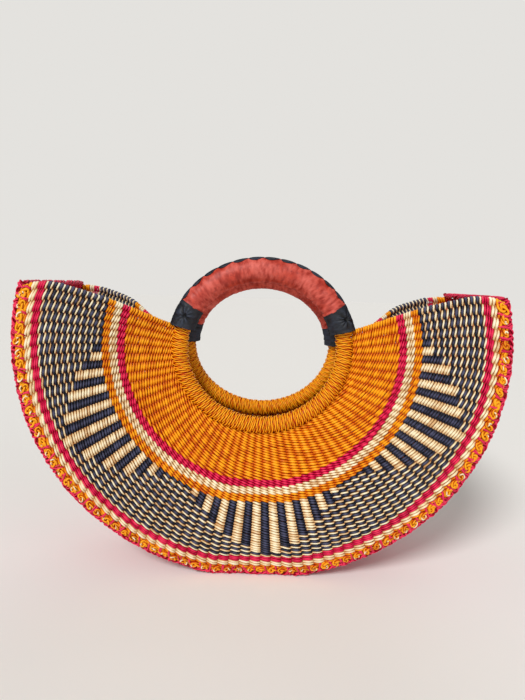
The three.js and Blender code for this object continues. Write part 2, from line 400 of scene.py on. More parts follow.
def maths(tree, operation, a, b=0.0):
    return node(tree, "ShaderNodeMath", {0: a, 1: b}, operation=operation).outputs[0]


def vectors(tree, operation, a, b=(0, 0, 0), output="Vector"):
    made = node(tree, "ShaderNodeVectorMath", {0: a, 1: b}, operation=operation)
    return made.outputs[output]


def chance(tree, low, high, seed):
    return node(tree, "FunctionNodeRandomValue", {
        2: low, 3: high, "Seed": seed}, data_type="FLOAT").outputs[1]


def named(tree, name, data_type="FLOAT"):
    read = node(tree, "GeometryNodeInputNamedAttribute", {"Name": name}, data_type=data_type)
    return read.outputs["Attribute"]


def new_group(name, kind, inputs, outputs):
    """A node tree whose sockets are given as a kind for each name."""
    tree = bpy.data.node_groups.new(name, kind)
    for way, sockets in (("INPUT", inputs), ("OUTPUT", outputs)):
        for title, socket in sockets.items():
            tree.interface.new_socket(title, in_out=way, socket_type="NodeSocket" + socket)
    return tree, tree.nodes.new("NodeGroupInput").outputs, tree.nodes.new("NodeGroupOutput").inputs


def shared(name, maker, *facts):
    """The node tree or material of that name, made the first time it is asked for."""
    found = bpy.data.node_groups.get(name) or bpy.data.materials.get(name)
    return found or maker(name, *facts)


def straw_tree(name):
    """Geometry Nodes that turn strands into straws which swing out of the wall and back."""
    tree, given, out = new_group(name, "GeometryNodeTree", {
        "Strands": "Geometry", "Weave Depth": "Float", "Weave Rise": "Float", "Fullness": "Float",
        "Unevenness": "Float", "Sides": "Int", "Seed": "Int", "Straw": "Material",
    }, {"Straws": "Geometry"})

    def stored(geometry, title, value, data_type="FLOAT"):
        return after(tree, "GeometryNodeStoreNamedAttribute", geometry,
                     {"Name": title, "Value": value}, data_type=data_type)

    curve = node(tree, "GeometryNodeMeshToCurve", {"Mesh": given["Strands"]}).outputs[0]
    swing, lift = (named(tree, fact, "FLOAT_VECTOR") for fact in VECTOR_FACTS)
    offset = vectors(tree, "ADD", vectors(tree, "MULTIPLY", swing, given["Weave Depth"]),
                     vectors(tree, "MULTIPLY", lift, given["Weave Rise"]))
    placed = after(tree, "GeometryNodeSetPosition", curve, {"Offset": offset})
    spline = tree.nodes.new("GeometryNodeSplineParameter").outputs
    placed = stored(placed, "run", spline["Length"])
    circle = node(tree, "GeometryNodeCurvePrimitiveCircle", {
        "Resolution": given["Sides"], "Radius": 1.0}).outputs[0]
    circle = stored(circle, "turn", maths(tree, "MULTIPLY", spline["Factor"], FULL_TURN))
    change = maths(tree, "MULTIPLY", chance(tree, -1.0, 1.0, given["Seed"]), given["Unevenness"])
    thick = maths(tree, "MULTIPLY", named(tree, "girth"), given["Fullness"])
    straws = node(tree, "GeometryNodeCurveToMesh", {
        "Curve": placed, "Profile Curve": circle, "Fill Caps": True,
        "Scale": maths(tree, "MULTIPLY", thick, maths(tree, "ADD", 1.0, change))}).outputs[0]
    turn = named(tree, "turn")
    grain = node(tree, "ShaderNodeCombineXYZ", {
        "X": named(tree, "run"), "Y": maths(tree, "COSINE", turn), "Z": maths(tree, "SINE", turn)})
    straws = stored(straws, "grain", grain.outputs[0], "FLOAT_VECTOR")
    # facing: how far each side of a straw looks out of the wall; the straw material paints shade on
    # the flanks with it
    normal = tree.nodes.new("GeometryNodeInputNormal").outputs[0]
    outward = vectors(tree, "NORMALIZE", swing)
    straws = stored(straws, "facing", vectors(tree, "DOT_PRODUCT", normal, outward, "Value"))
    for spent in (*VECTOR_FACTS, "girth", "run", "turn"):
        straws = after(tree, "GeometryNodeRemoveAttribute", straws, {"Name": spent})
    straws = after(tree, "GeometryNodeSetShadeSmooth", straws)
    straws = after(tree, "GeometryNodeRealizeInstances", straws)
    painted = after(tree, "GeometryNodeSetMaterial", straws, {"Material": given["Straw"]})
    tree.links.new(painted, out["Straws"])
    return tree


def lace_tree(name):
    """Geometry Nodes that set one loop of lace on every point, turned to lie on the grip."""
    tree, given, out = new_group(name, "GeometryNodeTree", {
        "Stations": "Geometry", "Loop": "Object", "Turn Spread": "Float", "Seed": "Int",
        "Leather": "Material",
    }, {"Lacing": "Geometry"})
    loop = node(tree, "GeometryNodeObjectInfo", {"Object": given["Loop"]}).outputs["Geometry"]
    facing = node(tree, "FunctionNodeAxesToRotation", {
        "Primary Axis": named(tree, "outward", "FLOAT_VECTOR"),
        "Secondary Axis": named(tree, "ahead", "FLOAT_VECTOR")}).outputs[0]
    least = maths(tree, "MULTIPLY", given["Turn Spread"], -1.0)
    spread = chance(tree, least, given["Turn Spread"], given["Seed"])
    twist = node(tree, "FunctionNodeAxisAngleToRotation", {
        "Axis": (0, 0, 1), "Angle": spread}).outputs[0]
    turned = node(tree, "FunctionNodeRotateRotation", {
        "Rotation": facing, "Rotate By": twist}, rotation_space="LOCAL").outputs[0]
    loops = node(tree, "GeometryNodeInstanceOnPoints", {
        "Points": given["Stations"], "Instance": loop, "Rotation": turned}).outputs[0]
    loops = after(tree, "GeometryNodeRealizeInstances", loops)
    painted = after(tree, "GeometryNodeSetMaterial", loops, {"Material": given["Leather"]})
    tree.links.new(painted, out["Lacing"])
    return tree


# Pieces

def add_object(name, mesh):
    mesh.name = name
    made = bpy.data.objects.new(name, mesh)
    bpy.context.scene.collection.objects.link(made)
    return made


def grow(name, mesh, tree, inputs):
    """A plain mesh object: what the tree makes of the mesh with these inputs."""
    source = bpy.data.objects.new(name + "_source", mesh)
    bpy.context.scene.collection.objects.link(source)
    modifier = source.modifiers.new(tree.name, "NODES")
    modifier.node_group = tree
    for item in tree.interface.items_tree:
        if item.item_type == "SOCKET" and item.in_out == "INPUT" and item.name in inputs:
            modifier[item.identifier] = inputs[item.name]
    graph = bpy.context.evaluated_depsgraph_get()
    grown = bpy.data.meshes.new_from_object(
        source.evaluated_get(graph), preserve_all_data_layers=True, depsgraph=graph)
    bpy.data.objects.remove(source)
    if not grown.polygons:
        raise RuntimeError(name + " came out empty")
    return add_object(name, grown)


def weave(name, strands, material, work, depth=0.0, rise=0.0, fullness=1.0, uneven=0.05, sides=6,
          seed_step=0):
    """Straws along the strands, as one plain mesh."""
    return grow(name, strands_mesh(name, strands), shared("straw_strands", straw_tree), {
        "Weave Depth": depth, "Weave Rise": rise, "Fullness": fullness, "Unevenness": uneven,
        "Sides": sides, "Seed": STRAW_SEEDS[work] + seed_step, "Straw": material})


def grid_mesh(name, points, material):
    """A closed tube through loops of points, each loop one row of the grid."""
    loops, count = points.shape[:2]
    faces = []
    for i in range(loops - 1):
        for j in range(count):
            k = (j + 1) % count
            faces.append((i * count + j, i * count + k, (i + 1) * count + k, (i + 1) * count + j))
    faces.append(tuple(range(count - 1, -1, -1)))
    faces.append(tuple(range((loops - 1) * count, loops * count)))
    mesh = bpy.data.meshes.new(name)
    mesh.from_pydata(points.reshape(-1, 3), [], faces)
    mesh.polygons.foreach_set("use_smooth", [len(f) == 4 for f in faces])
    mesh.materials.append(material)
    return turned_out(mesh)


def turned_out(mesh):
    """The mesh with its faces outwards, judged by the volume that they close."""
    co = np.zeros(len(mesh.vertices) * 3, np.float32)
    mesh.vertices.foreach_get("co", co)
    co = co.reshape(-1, 3).astype(float)
    mesh.calc_loop_triangles()
    corners = np.zeros(len(mesh.loop_triangles) * 3, np.int32)
    mesh.loop_triangles.foreach_get("vertices", corners)
    a, b, c = co[corners.reshape(-1, 3).T]
    if np.einsum("ij,ij->", a, np.cross(b, c)) < 0:
        mesh.flip_normals()
    return mesh


def settle(piece, wall, slot, *nodes):
    """Puts a piece on its wall and hides the solids that it stands for; its finish, the slot, is
    not used.
    """
    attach(piece, wall + "_wall")
    if nodes:
        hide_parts(*nodes)


def draws(side, work):
    return np.random.default_rng(side + DRAW_SEEDS[work])


def smooth_noise(draw, positions, spacing, amount):
    """A line that wanders gently, with a new aim after every spacing, off by the amount."""
    knots = np.arange(positions[0] - spacing, positions[-1] + 2 * spacing, spacing)
    return np.interp(positions, knots, draw.normal(0, amount, len(knots)))


def about_one(draw, spread, count=None):
    return 1 + spread * draw.standard_normal(count)


# Materials

SURFACE = {"Colour": "Color", "Roughness": "Float", "Height": "Float"}
BUMP_STRENGTH = 0.6

STREAK_STRETCH = (90, 1.6, 1.6)
STREAK_CHANGE = 0.6
SPOT_SCALE = 46.0
STRAW_NOISE = (3.0, 0.6)
# Where the painted shade and the painted highlight fall: crest from hollow to crest, facing from
# flank to face, and how the highlight rises and where it starts and ends
HOLLOW_TO_CREST = (-0.45, 0.55)
EDGE_TO_FACE = (0.0, 0.85)
PAINTED_HIGHLIGHT_POWER = 2.0
PAINTED_HIGHLIGHT_RANGE = (0.35, 1.05)
STRAW_ROUGHNESS, STRAW_ROUGHNESS_CHANGE = 0.42, 0.35
STRAW_BUMP, STRAW_GLOSS = 0.12 * MM, 0.16

# For each dye: tint of the painted shade in the hollows, tint of the painted highlight on the
# raised parts and the green added to it, and how strong the dye spots and the change from
# stitch to stitch are
DYES_AND_PAINTED_LIGHT = {
    "orange": ((0.55, 0.1, 0), (1.25, 1.85, 6), 0, 0.7, 0.32),
    "magenta": ((0.42, 0, 0.1), (1.25, 1, 1.7), 0.04, 0.5, 0.35),
    "natural": ((0.58, 0.31, 0.13), (2, 1.35, 1.75), 0, 0.6, 0.35),
    "black": ((0.3, 0.3, 0.3), (4.5, 4.5, 4.5), 0, 0.4, 0.25),
    "spoke": ((0.5, 0.5, 0.5), (1.5, 1.5, 1.5), 0, 0.5, 0.3),
}
# The spokes are real straws, but are tinted darker than the orange rows as painted shade in the
# gaps between the rows
SPOKE_PAINTED_SHADE_TINT = (0.455, 0.35, 0.245)

# For each leather: tint of the painted shade in the creases, tint of the painted sheen on the
# rubbed patches, bump and gloss
LEATHERS = {
    "red_leather": ((0.55, 0.25, 0.15), (1.35, 3.4, 6), 0.15 * MM, 0.5),
    "black_leather": ((0.12, 0.12, 0.12), (2.992, 3.4, 3.808), 0.2 * MM, 0.42),
}
LEATHER_NOISE_ROUGHNESS = 0.62
CREASE_SCALE, CREASE_DETAIL, CREASE_RANGE = 210.0, 5.0, (0.3, 0.52)
RUB_SCALE, RUB_DETAIL, RUB_RANGE = 34.0, 4.0, (0.35, 0.7)
PORE_SCALE, PORE_DEPTH = 900.0, 0.5
GRAIN_SCALE, GRAIN_DETAIL = 260.0, 5.0
LEATHER_ROUGHNESS, RUBBED_ROUGHNESS = 0.5, 0.2
GLOSSY_TO_DULL = (0.15, 0.85)

CANE_SCALE, CANE_DISTORTION, CANE_DETAIL = 60.0, 9.0, 3.0
CANE_TINT, CANE_ROUGHNESS = 0.6, 0.6


def map_range(tree, value, low, high, first=0.0, last=1.0, kind="LINEAR"):
    return node(tree, "ShaderNodeMapRange", {
        "Value": value, "From Min": low, "From Max": high, "To Min": first, "To Max": last},
        interpolation_type=kind).outputs[0]


def mixed_colour(tree, factor, a, b):
    return node(tree, "ShaderNodeMix", {0: factor, 6: a, 7: b}, data_type="RGBA").outputs[2]


def painted(tree, name):
    return node(tree, "ShaderNodeAttribute", attribute_name=name).outputs


def cloud(tree, place, scale, detail, roughness):
    return node(tree, "ShaderNodeTexNoise", {
        "Vector": place, "Scale": scale, "Detail": detail, "Roughness": roughness}).outputs["Fac"]


def object_place(tree):
    return tree.nodes.new("ShaderNodeTexCoord").outputs["Object"]


def straw_group(name):
    """Colour, roughness and height of straw: streaks along it, dye spots, painted shade in the
    hollows and on the flanks between rows, and a painted highlight on the middle of each crest.
    """
    tree, given, out = new_group(name, "ShaderNodeTree", {
        "Colour": "Color", "Hollow Colour": "Color", "Light Colour": "Color", "Spots": "Float",
        "Stitch Change": "Float"}, SURFACE)

    def centred(value, share):
        return maths(tree, "MULTIPLY", maths(tree, "SUBTRACT", value, 0.5), share)

    grain = vectors(tree, "MULTIPLY", painted(tree, "grain")["Vector"], STREAK_STRETCH)
    streak = cloud(tree, grain, 1.0, *STRAW_NOISE)
    spot = cloud(tree, object_place(tree), SPOT_SCALE, *STRAW_NOISE)
    change = maths(tree, "ADD", centred(streak, STREAK_CHANGE), centred(spot, given["Spots"]))
    stitch = maths(tree, "MULTIPLY", painted(tree, "shade")["Fac"], given["Stitch Change"])
    change = maths(tree, "ADD", change, stitch)
    # Painted shade: the hollow colour where the straw dips into a hollow or turns its flank, where
    # shade falls between rows
    height = painted(tree, "crest")["Fac"]
    crest = map_range(tree, height, *HOLLOW_TO_CREST, kind="SMOOTHSTEP")
    face = map_range(tree, painted(tree, "facing")["Fac"], *EDGE_TO_FACE, kind="SMOOTHSTEP")
    body = maths(tree, "ADD", maths(tree, "MULTIPLY", crest, face), change)
    body = node(tree, "ShaderNodeClamp", {"Value": body}).outputs[0]
    # Painted highlight: the light colour on the middle of each crest, where the light falls
    painted_highlight = maths(tree, "POWER", maths(tree, "MULTIPLY", height, face), PAINTED_HIGHLIGHT_POWER)
    light = map_range(tree, maths(tree, "ADD", painted_highlight, change), *PAINTED_HIGHLIGHT_RANGE)
    base = mixed_colour(tree, body, given["Hollow Colour"], given["Colour"])
    tree.links.new(mixed_colour(tree, light, base, given["Light Colour"]), out["Colour"])
    rough = maths(tree, "ADD", STRAW_ROUGHNESS, centred(streak, STRAW_ROUGHNESS_CHANGE))
    tree.links.new(rough, out["Roughness"])
    tree.links.new(streak, out["Height"])
    return tree


def leather_group(name):
    """Colour, roughness and height of soft leather, with pores, painted shade in the creases and
    where it sinks, and rubbed patches that are rougher and carry a painted sheen where it rises.
    """
    tree, given, out = new_group(name, "ShaderNodeTree", {
        "Colour": "Color", "Crease Colour": "Color", "Rubbed Colour": "Color"}, SURFACE)
    place = object_place(tree)
    pore = node(tree, "ShaderNodeTexVoronoi", {
        "Vector": place, "Scale": PORE_SCALE}, feature="DISTANCE_TO_EDGE").outputs[0]
    crease = cloud(tree, place, CREASE_SCALE, CREASE_DETAIL, LEATHER_NOISE_ROUGHNESS)
    crease = map_range(tree, crease, *CREASE_RANGE)
    rub_and_sheen = cloud(tree, place, RUB_SCALE, RUB_DETAIL, LEATHER_NOISE_ROUGHNESS)
    rub_and_sheen = map_range(tree, rub_and_sheen, *RUB_RANGE)
    # Painted shade: the crease colour in creases and where the leather sinks. Painted sheen: the
    # rubbed colour on rubbed patches where it rises
    fold = painted(tree, "fold")["Fac"]
    base = mixed_colour(
        tree, maths(tree, "MULTIPLY", crease, fold), given["Crease Colour"], given["Colour"])
    base = mixed_colour(tree, maths(tree, "MULTIPLY", rub_and_sheen, fold), base, given["Rubbed Colour"])
    tree.links.new(base, out["Colour"])
    rough = maths(tree, "MULTIPLY", rub_and_sheen, RUBBED_ROUGHNESS)
    tree.links.new(maths(tree, "ADD", LEATHER_ROUGHNESS, rough), out["Roughness"])
    grain = cloud(tree, place, GRAIN_SCALE, GRAIN_DETAIL, LEATHER_NOISE_ROUGHNESS)
    height = maths(tree, "ADD", maths(tree, "MULTIPLY", pore, PORE_DEPTH), grain)
    tree.links.new(height, out["Height"])
    return tree


def new_material(name):
    """A material, its node tree and the inputs of its principled shader."""
    made = bpy.data.materials.new(name)
    made.use_nodes = True
    return made, made.node_tree, made.node_tree.nodes["Principled BSDF"].inputs


def group_material(name, group_name, group_maker, inputs, bump):
    """A material whose colour, roughness and bump come from a node group."""
    made, tree, shader = new_material(name)
    group = node(tree, "ShaderNodeGroup", inputs, node_tree=shared(group_name, group_maker))
    raised = node(tree, "ShaderNodeBump", {
        "Height": group.outputs["Height"], "Strength": BUMP_STRENGTH, "Distance": bump})
    tree.links.new(group.outputs["Colour"], shader["Base Color"])
    tree.links.new(group.outputs["Roughness"], shader["Roughness"])
    tree.links.new(raised.outputs[0], shader["Normal"])
    return made, tree, shader, group


def tinted(colour, tint, added_green=0):
    """The colour with its red, green and blue made darker or lighter, and green added."""
    added = (0, added_green, 0)
    return (*(min(part * factor + more, 1) for part, factor, more in zip(colour, tint, added)), 1)


def dye_and_painted_light(dye, colour):
    """Inputs of the straw group for a straw with that dye: its colour, its painted shade and
    painted highlight colours, its dye spots and its change from stitch to stitch.
    """
    hollow, light, green, spots, stitches = DYES_AND_PAINTED_LIGHT[dye]
    return {"Colour": (*colour, 1), "Hollow Colour": tinted(colour, hollow),
            "Light Colour": tinted(colour, light, green), "Spots": spots,
            "Stitch Change": stitches}


def straw_material(name, dye, colour):
    made, tree, shader, group = group_material(
        name, "straw_fibre", straw_group, dye_and_painted_light(dye, colour), STRAW_BUMP)
    shader["Specular IOR Level"].default_value = STRAW_GLOSS
    if name == "black_and_natural_straw":
        # The black straws get their own painted shade and painted highlight colours
        black = node(tree, "ShaderNodeGroup", dye_and_painted_light("black", colours().black),
                     node_tree=group.node_tree)
        pick = maths(tree, "GREATER_THAN", painted(tree, "tone")["Fac"], 0.5)
        both = mixed_colour(tree, pick, black.outputs["Colour"], group.outputs["Colour"])
        tree.links.new(both, shader["Base Color"])
    return made


def straw(finish):
    """The straw material of that finish, and the record's slot for it."""
    if finish == "pattern":
        name, dye = "black_and_natural_straw", "natural"
    else:
        name, dye = finish + "_straw", finish
    return shared(name, straw_material, dye, getattr(colours(), dye)), "straw_" + finish


def leather(name):
    """Leather with less gloss where it is seen edge on, because it isn't polished."""
    crease, sheen_tint, bump, gloss = LEATHERS[name]
    colour = getattr(colours(), name)
    # The crease tint is painted shade and the rubbed tint a painted sheen
    made, tree, shader, _ = group_material(name, "leather_grain", leather_group, {
        "Colour": (*colour, 1), "Crease Colour": tinted(colour, crease),
        "Rubbed Colour": tinted(colour, sheen_tint)}, bump)
    facing = tree.nodes.new("ShaderNodeLayerWeight").outputs["Facing"]
    dulled = map_range(tree, facing, *GLOSSY_TO_DULL, gloss, 0.0)
    tree.links.new(dulled, shader["Specular IOR Level"])
    return made


# The walls

SPOKE_STEPS = 5
TURN_STEPS = 3
SPOKE_POINTS = 12
MOST_ROWS = 19
ROW_WIDTH_SHARE = 0.5
STITCH_SQUARENESS = 0.7
TIP_GIRTH = 0.58
FRONT_DWELL = 0.3
THIN_ROW, THICK_ROW = 0.78, 1.18
# Spacing and amount for smooth_noise, as in the other pairs that are handed to it
ROW_WANDER = (4, 0.07)
HEIGHT_SPREAD, GIRTH_SPREAD = 0.1, 0.07
STITCH_SHADE_SPREAD, SPOKE_SHADE_SPREAD = 0.5, 0.4


def turn_back(middle, normal, ahead, start):
    """Points of the turn round the last spoke, from the face where start says to the other."""
    psi = np.linspace(0, HALF_TURN, TURN_STEPS + 2)[1:-1, None]
    swing = start * np.cos(psi) * normal + np.sin(psi) * ahead
    return np.repeat(middle[None], TURN_STEPS, axis=0), swing


def stitch_wave(phase):
    wave = np.cos(phase)
    return np.sign(wave) * np.abs(wave) ** STITCH_SQUARENESS


def dwell(phase):
    """Extra height that keeps both straws in view where they cross."""
    return FRONT_DWELL * np.sin(phase) ** 2


def plumpness(phase):
    """Girth of a stitch: full at its middle, pressed thin where it slips under the next."""
    return TIP_GIRTH + (1 - TIP_GIRTH) * np.abs(np.cos(phase))


def pattern_tone(row, spoke):
    """1 where a stitch is natural and 0 where it is black, and how thick it is."""
    away = np.min([np.abs(spoke - tip) for tip in TRIANGLE_TIPS], axis=0)
    bar_rows = LONGEST_BAR_ROWS - BAR_STEP_ROWS * away
    barred = (away <= TRIANGLE_HALF_WIDTH) & (row + 0.5 < bar_rows)
    stripe_girth = THIN_ROW if row % 2 else THICK_ROW
    return np.where(barred, spoke % 2, row % 2), np.where(barred, 1.0, stripe_girth)


def woven_row(side, row, share, row_share, spokes, patterned, draw):
    """One twined row of the wall: a straw that runs to the far end of the mouth and back."""
    s = np.arange(spokes * SPOKE_STEPS + 1) / SPOKE_STEPS
    phase = HALF_TURN * s
    wander = share + row_share * smooth_noise(draw, s, *ROW_WANDER)
    middle, normal, across, ahead = wall_axes(side, s / spokes, wander)
    neighbour = wall_middle(side, s / spokes, wander + row_share)
    width = np.linalg.norm(neighbour - middle, axis=1)
    stitch = np.rint(s).astype(int)
    height = about_one(draw, HEIGHT_SPREAD, spokes + 1)[stitch]
    tone, thick = pattern_tone(row, stitch) if patterned else (0 * s, 1)
    girth = ROW_WIDTH_SHARE * width * thick * about_one(draw, GIRTH_SPREAD, spokes + 1)[stitch]
    girth = girth * plumpness(phase)
    wave = (stitch_wave(phase) * height)[:, None] * normal
    out = dwell(phase)[:, None] * normal
    slant = (np.sin(phase) * width)[:, None] * across
    shade = [draw.normal(0, STITCH_SHADE_SPREAD, spokes + 1)[stitch] for _ in range(2)]
    # crest: 1 on the middle of a stitch, 0 where it dives behind a spoke; painted shade there, a
    # painted highlight on the middle
    crest = np.abs(np.cos(phase))
    far = turn_back(middle[-1], normal[-1], ahead[-1], 1)
    near = turn_back(middle[0], normal[0], -ahead[0], -1)
    flat = np.zeros((TURN_STEPS, 3))

    def both(there, back):
        return np.concatenate([
            there, np.repeat(there[-1], TURN_STEPS), back[::-1], np.repeat(there[0], TURN_STEPS)])

    return strand(
        np.concatenate([middle, far[0], middle[::-1], near[0]]), both(girth, girth),
        np.concatenate([out + wave, far[1], (out - wave)[::-1], near[1]]),
        np.concatenate([slant, flat, -slant[::-1], flat]),
        both(tone, tone), both(*shade), both(crest, crest), closed=True)


def band_shares():
    """Each band's name, first and last share of the way from ring to seam, and its facts."""
    start, end = -RING_OVERLAP_SHARE, 0.0
    for name, width, rows, spokes, finish in BANDS:
        end += width / WALL_WIDTH
        reach = SEAM_OVERLAP_SHARE if name == BANDS[-1][0] else 0
        yield name, start, end + reach, rows, spokes, finish
        start = end


def spoke_strands(side, spokes, first, last, radius, draw):
    share = np.linspace(first, last, SPOKE_POINTS)
    return [strand(wall_middle(side, k / spokes, share), radius,
                   shade=draw.normal(0, SPOKE_SHADE_SPREAD)) for k in range(1, spokes)]


class BASKET_OT_walls(bpy.types.Operator):
    """Twine the rows of both walls round their spokes, band by band"""

    bl_idname = "basket.walls"
    bl_label = "Walls"

    def execute(self, context):
        for side, wall in WALLS.items():
            for band, facts in enumerate(band_shares()):
                self.band(side, wall, band, *facts)
            self.spokes(side, wall)
        return {"FINISHED"}

    def band(self, side, wall, band, name, start, end, rows, spokes, finish):
        size = sizes()
        draw = np.random.default_rng(BAND_SEEDS[side] + band)
        row_share = (end - start) / rows
        material, slot = straw(finish)
        made = [woven_row(side, row, start + (row + 0.5) * row_share, row_share, spokes,
                          finish == "pattern", draw) for row in range(rows)]
        parts = [made] if rows <= MOST_ROWS else [made[:rows // 2], made[rows // 2:]]
        for part, strands in enumerate(parts):
            label = f"{wall}_{name}_rows" + ("" if len(parts) == 1 else f"_{part + 1}")
            piece = weave(label, strands, material, "bands", size.weave_depth, size.weave_rise,
                          size.straw_fullness, seed_step=band)
            settle(piece, wall, slot, f"{wall}_{name}")

    def spokes(self, side, wall):
        radius = sizes().spoke_radius
        draw = draws(side, "spokes")
        field_share = BANDS[0][1] / WALL_WIDTH
        rim_share = 1 + SEAM_OVERLAP_SHARE
        strands = spoke_strands(side, FIELD_SPOKES, -RING_OVERLAP_SHARE, field_share, radius, draw)
        strands += spoke_strands(side, BAND_SPOKES, field_share, rim_share, radius, draw)
        # Painted shade: the spokes darker than the rows, for the gaps between them
        colour = tinted(colours().orange, SPOKE_PAINTED_SHADE_TINT)[:3]
        material = shared("spoke_straw", straw_material, "spoke", colour)
        settle(weave(wall + "_spokes", strands, material, "spokes"), wall, "straw_orange")


# The rim: knots, and the lashing that sews it to the gusset

KNOT_POINTS = 30
KNOT_INSET_SHARE = 2.4 / WALL_WIDTH
KNOT_ASIDE_SPREAD, KNOT_INSET_SPREAD = 0.06, 0.25 / WALL_WIDTH
KNOT_LIFT = 2.4 * MM
KNOT_MEAN_SHARE, KNOT_LOBE_SHARE = 0.68, 0.32
KNOT_SIZE_SPREAD, KNOT_LENGTH_SPREAD, KNOT_GIRTH_SPREAD = 0.1, 0.12, 0.1
KNOT_RISE, KNOT_RISE_SPREAD = 1.1 * MM, 0.2 * MM
KNOT_SHADE, KNOT_SHADE_SPREAD, KNOT_SHADE_CHANGE = 0.35, 0.6, 0.25
KNOT_UNEVENNESS = 0.14
END_POINTS = 9
END_TURNS, END_REACHES, END_GIRTHS = (0.8, 2.4), (0.4, 0.9), (0.45, 0.7)
END_RISE, END_RISE_TURNS = 2.2 * MM, (0.25, 2.9)
END_SHADE, END_SHADE_SPREAD = -0.3, 0.4
MOST_ENDS = 2

LASHING_TURNS, LASHING_STEPS = 215, 12
LASHING_UNEVENNESS = 0.12
PAST_CORNER = 1.5 * HEM_RADIUS / SEAM_HALF_WIDTH
LASHING_WANDER, LASHING_SLANT = (0.7, 0.5), 0.35
LASHING_LUMPS, LASHING_WAVES = (0.8, 0.25), (3, 0.15)
LASHING_GIRTHS, LASHING_SHADES = (0.7, 0.2), (0.9, 0.6)
# LASHING_CORE_CREST is low, so the core under the winding is painted in the hollow colour, as
# painted shade
LASHING_CORE, LASHING_CORE_CREST = 0.75 * LASHING_RADIUS, 0.1

STITCHES_A_KNOT = 2
STITCH_ASIDE_SPREAD = 0.09
STITCH_REACHES_MM = (7.5, 9.5)
STITCH_SLANT, STITCH_SLANT_SPREAD = 0.1, 0.22
LEANING_SHARE, LEANING_SLANT = 0.35, 0.9
STITCH_LIFTS = np.array([0.6, 2.6, 3.1, 3.1, 2.7]) * MM
STITCH_BESIDE_SEAM, STITCH_OVER_SEAM = 2.7 * MM, 2.4 * MM
STITCH_STRAW, STITCH_GIRTHS = 0.88 * MM, (0.75, 1.25)
STITCH_SHADES = 0.6

CROSSING_START, CROSSING_PITCH = 0.2, 0.5
CROSSING_SLANT, CROSSING_SLANT_SPREAD = 0.8, 0.35
CROSSING_TURNS = np.linspace(2.0, -0.6, 9)
CROSSING_REACH, CROSSING_REACH_SPREAD = 2.35 * MM, 0.25 * MM
CROSSING_STRAW, CROSSING_GIRTHS = 0.85 * MM, (0.75, 1.2)


def knot_strand(centre, axes, radius, girth, draw):
    """A straw knotted round itself: a loop that passes twice round the centre and three times
    over and under itself."""
    normal, across, ahead = axes
    t = np.linspace(0, FULL_TURN, KNOT_POINTS, endpoint=False)
    start = draw.uniform(0, FULL_TURN)
    reach = radius * (KNOT_MEAN_SHARE + KNOT_LOBE_SHARE * np.cos(3 * t))
    reach = reach * about_one(draw, KNOT_SIZE_SPREAD)
    rise = (KNOT_RISE + KNOT_RISE_SPREAD * draw.standard_normal()) * np.sin(3 * t)
    longer = about_one(draw, KNOT_LENGTH_SPREAD)
    co = centre + np.outer(reach * np.cos(2 * t + start) * longer, across)
    co = co + np.outer(reach * np.sin(2 * t + start) / longer, ahead) + np.outer(rise, normal)
    girth = girth * about_one(draw, KNOT_GIRTH_SPREAD)
    shade = draw.normal(KNOT_SHADE, KNOT_SHADE_SPREAD) + KNOT_SHADE_CHANGE * np.sin(2 * t)
    return strand(co, girth, np.tile(normal, (len(t), 1)), shade=shade, closed=True)


def loose_end(centre, axes, radius, girth, draw):
    """A pale straw end that lies over a knot."""
    normal, across, ahead = axes
    turn = np.linspace(0, draw.uniform(*END_TURNS), END_POINTS) + draw.uniform(0, FULL_TURN)
    co = centre + radius * draw.uniform(*END_REACHES) * circling(turn, across, ahead)
    rise = END_RISE * np.sin(np.linspace(*END_RISE_TURNS, END_POINTS))
    return strand(co + np.outer(rise, normal), girth * draw.uniform(*END_GIRTHS),
                  np.tile(normal, (END_POINTS, 1)), shade=draw.normal(END_SHADE, END_SHADE_SPREAD))


class BASKET_OT_knots(bpy.types.Operator):
    """Knot the folded end of every spoke along the rim"""

    bl_idname = "basket.knots"
    bl_label = "Border Knots"

    def execute(self, context):
        size = sizes()
        for side, wall in WALLS.items():
            draw = draws(side, "rim_knots")
            aside = draw.normal(0, KNOT_ASIDE_SPREAD, BAND_SPOKES)
            along = (np.arange(BAND_SPOKES) + 0.5 + aside) / BAND_SPOKES
            share = 1 - KNOT_INSET_SHARE + draw.normal(0, KNOT_INSET_SPREAD, BAND_SPOKES)
            middle, *axes = wall_axes(side, along, share)
            knots, ends = [], []
            for centre, *ways in zip(middle + axes[0] * KNOT_LIFT, *axes):
                facts = centre, ways, size.knot_radius, size.knot_straw, draw
                knots.append(knot_strand(*facts))
                ends += [loose_end(*facts) for _ in range(draw.integers(0, MOST_ENDS + 1))]
            for label, strands, finish in (
                    ("knots", knots, "orange"), ("knot_ends", ends, "natural")):
                material, slot = straw(finish)
                piece = weave(f"{wall}_border_{label}", strands, material, "knots",
                              uneven=KNOT_UNEVENNESS)
                settle(piece, wall, slot)
        return {"FINISHED"}


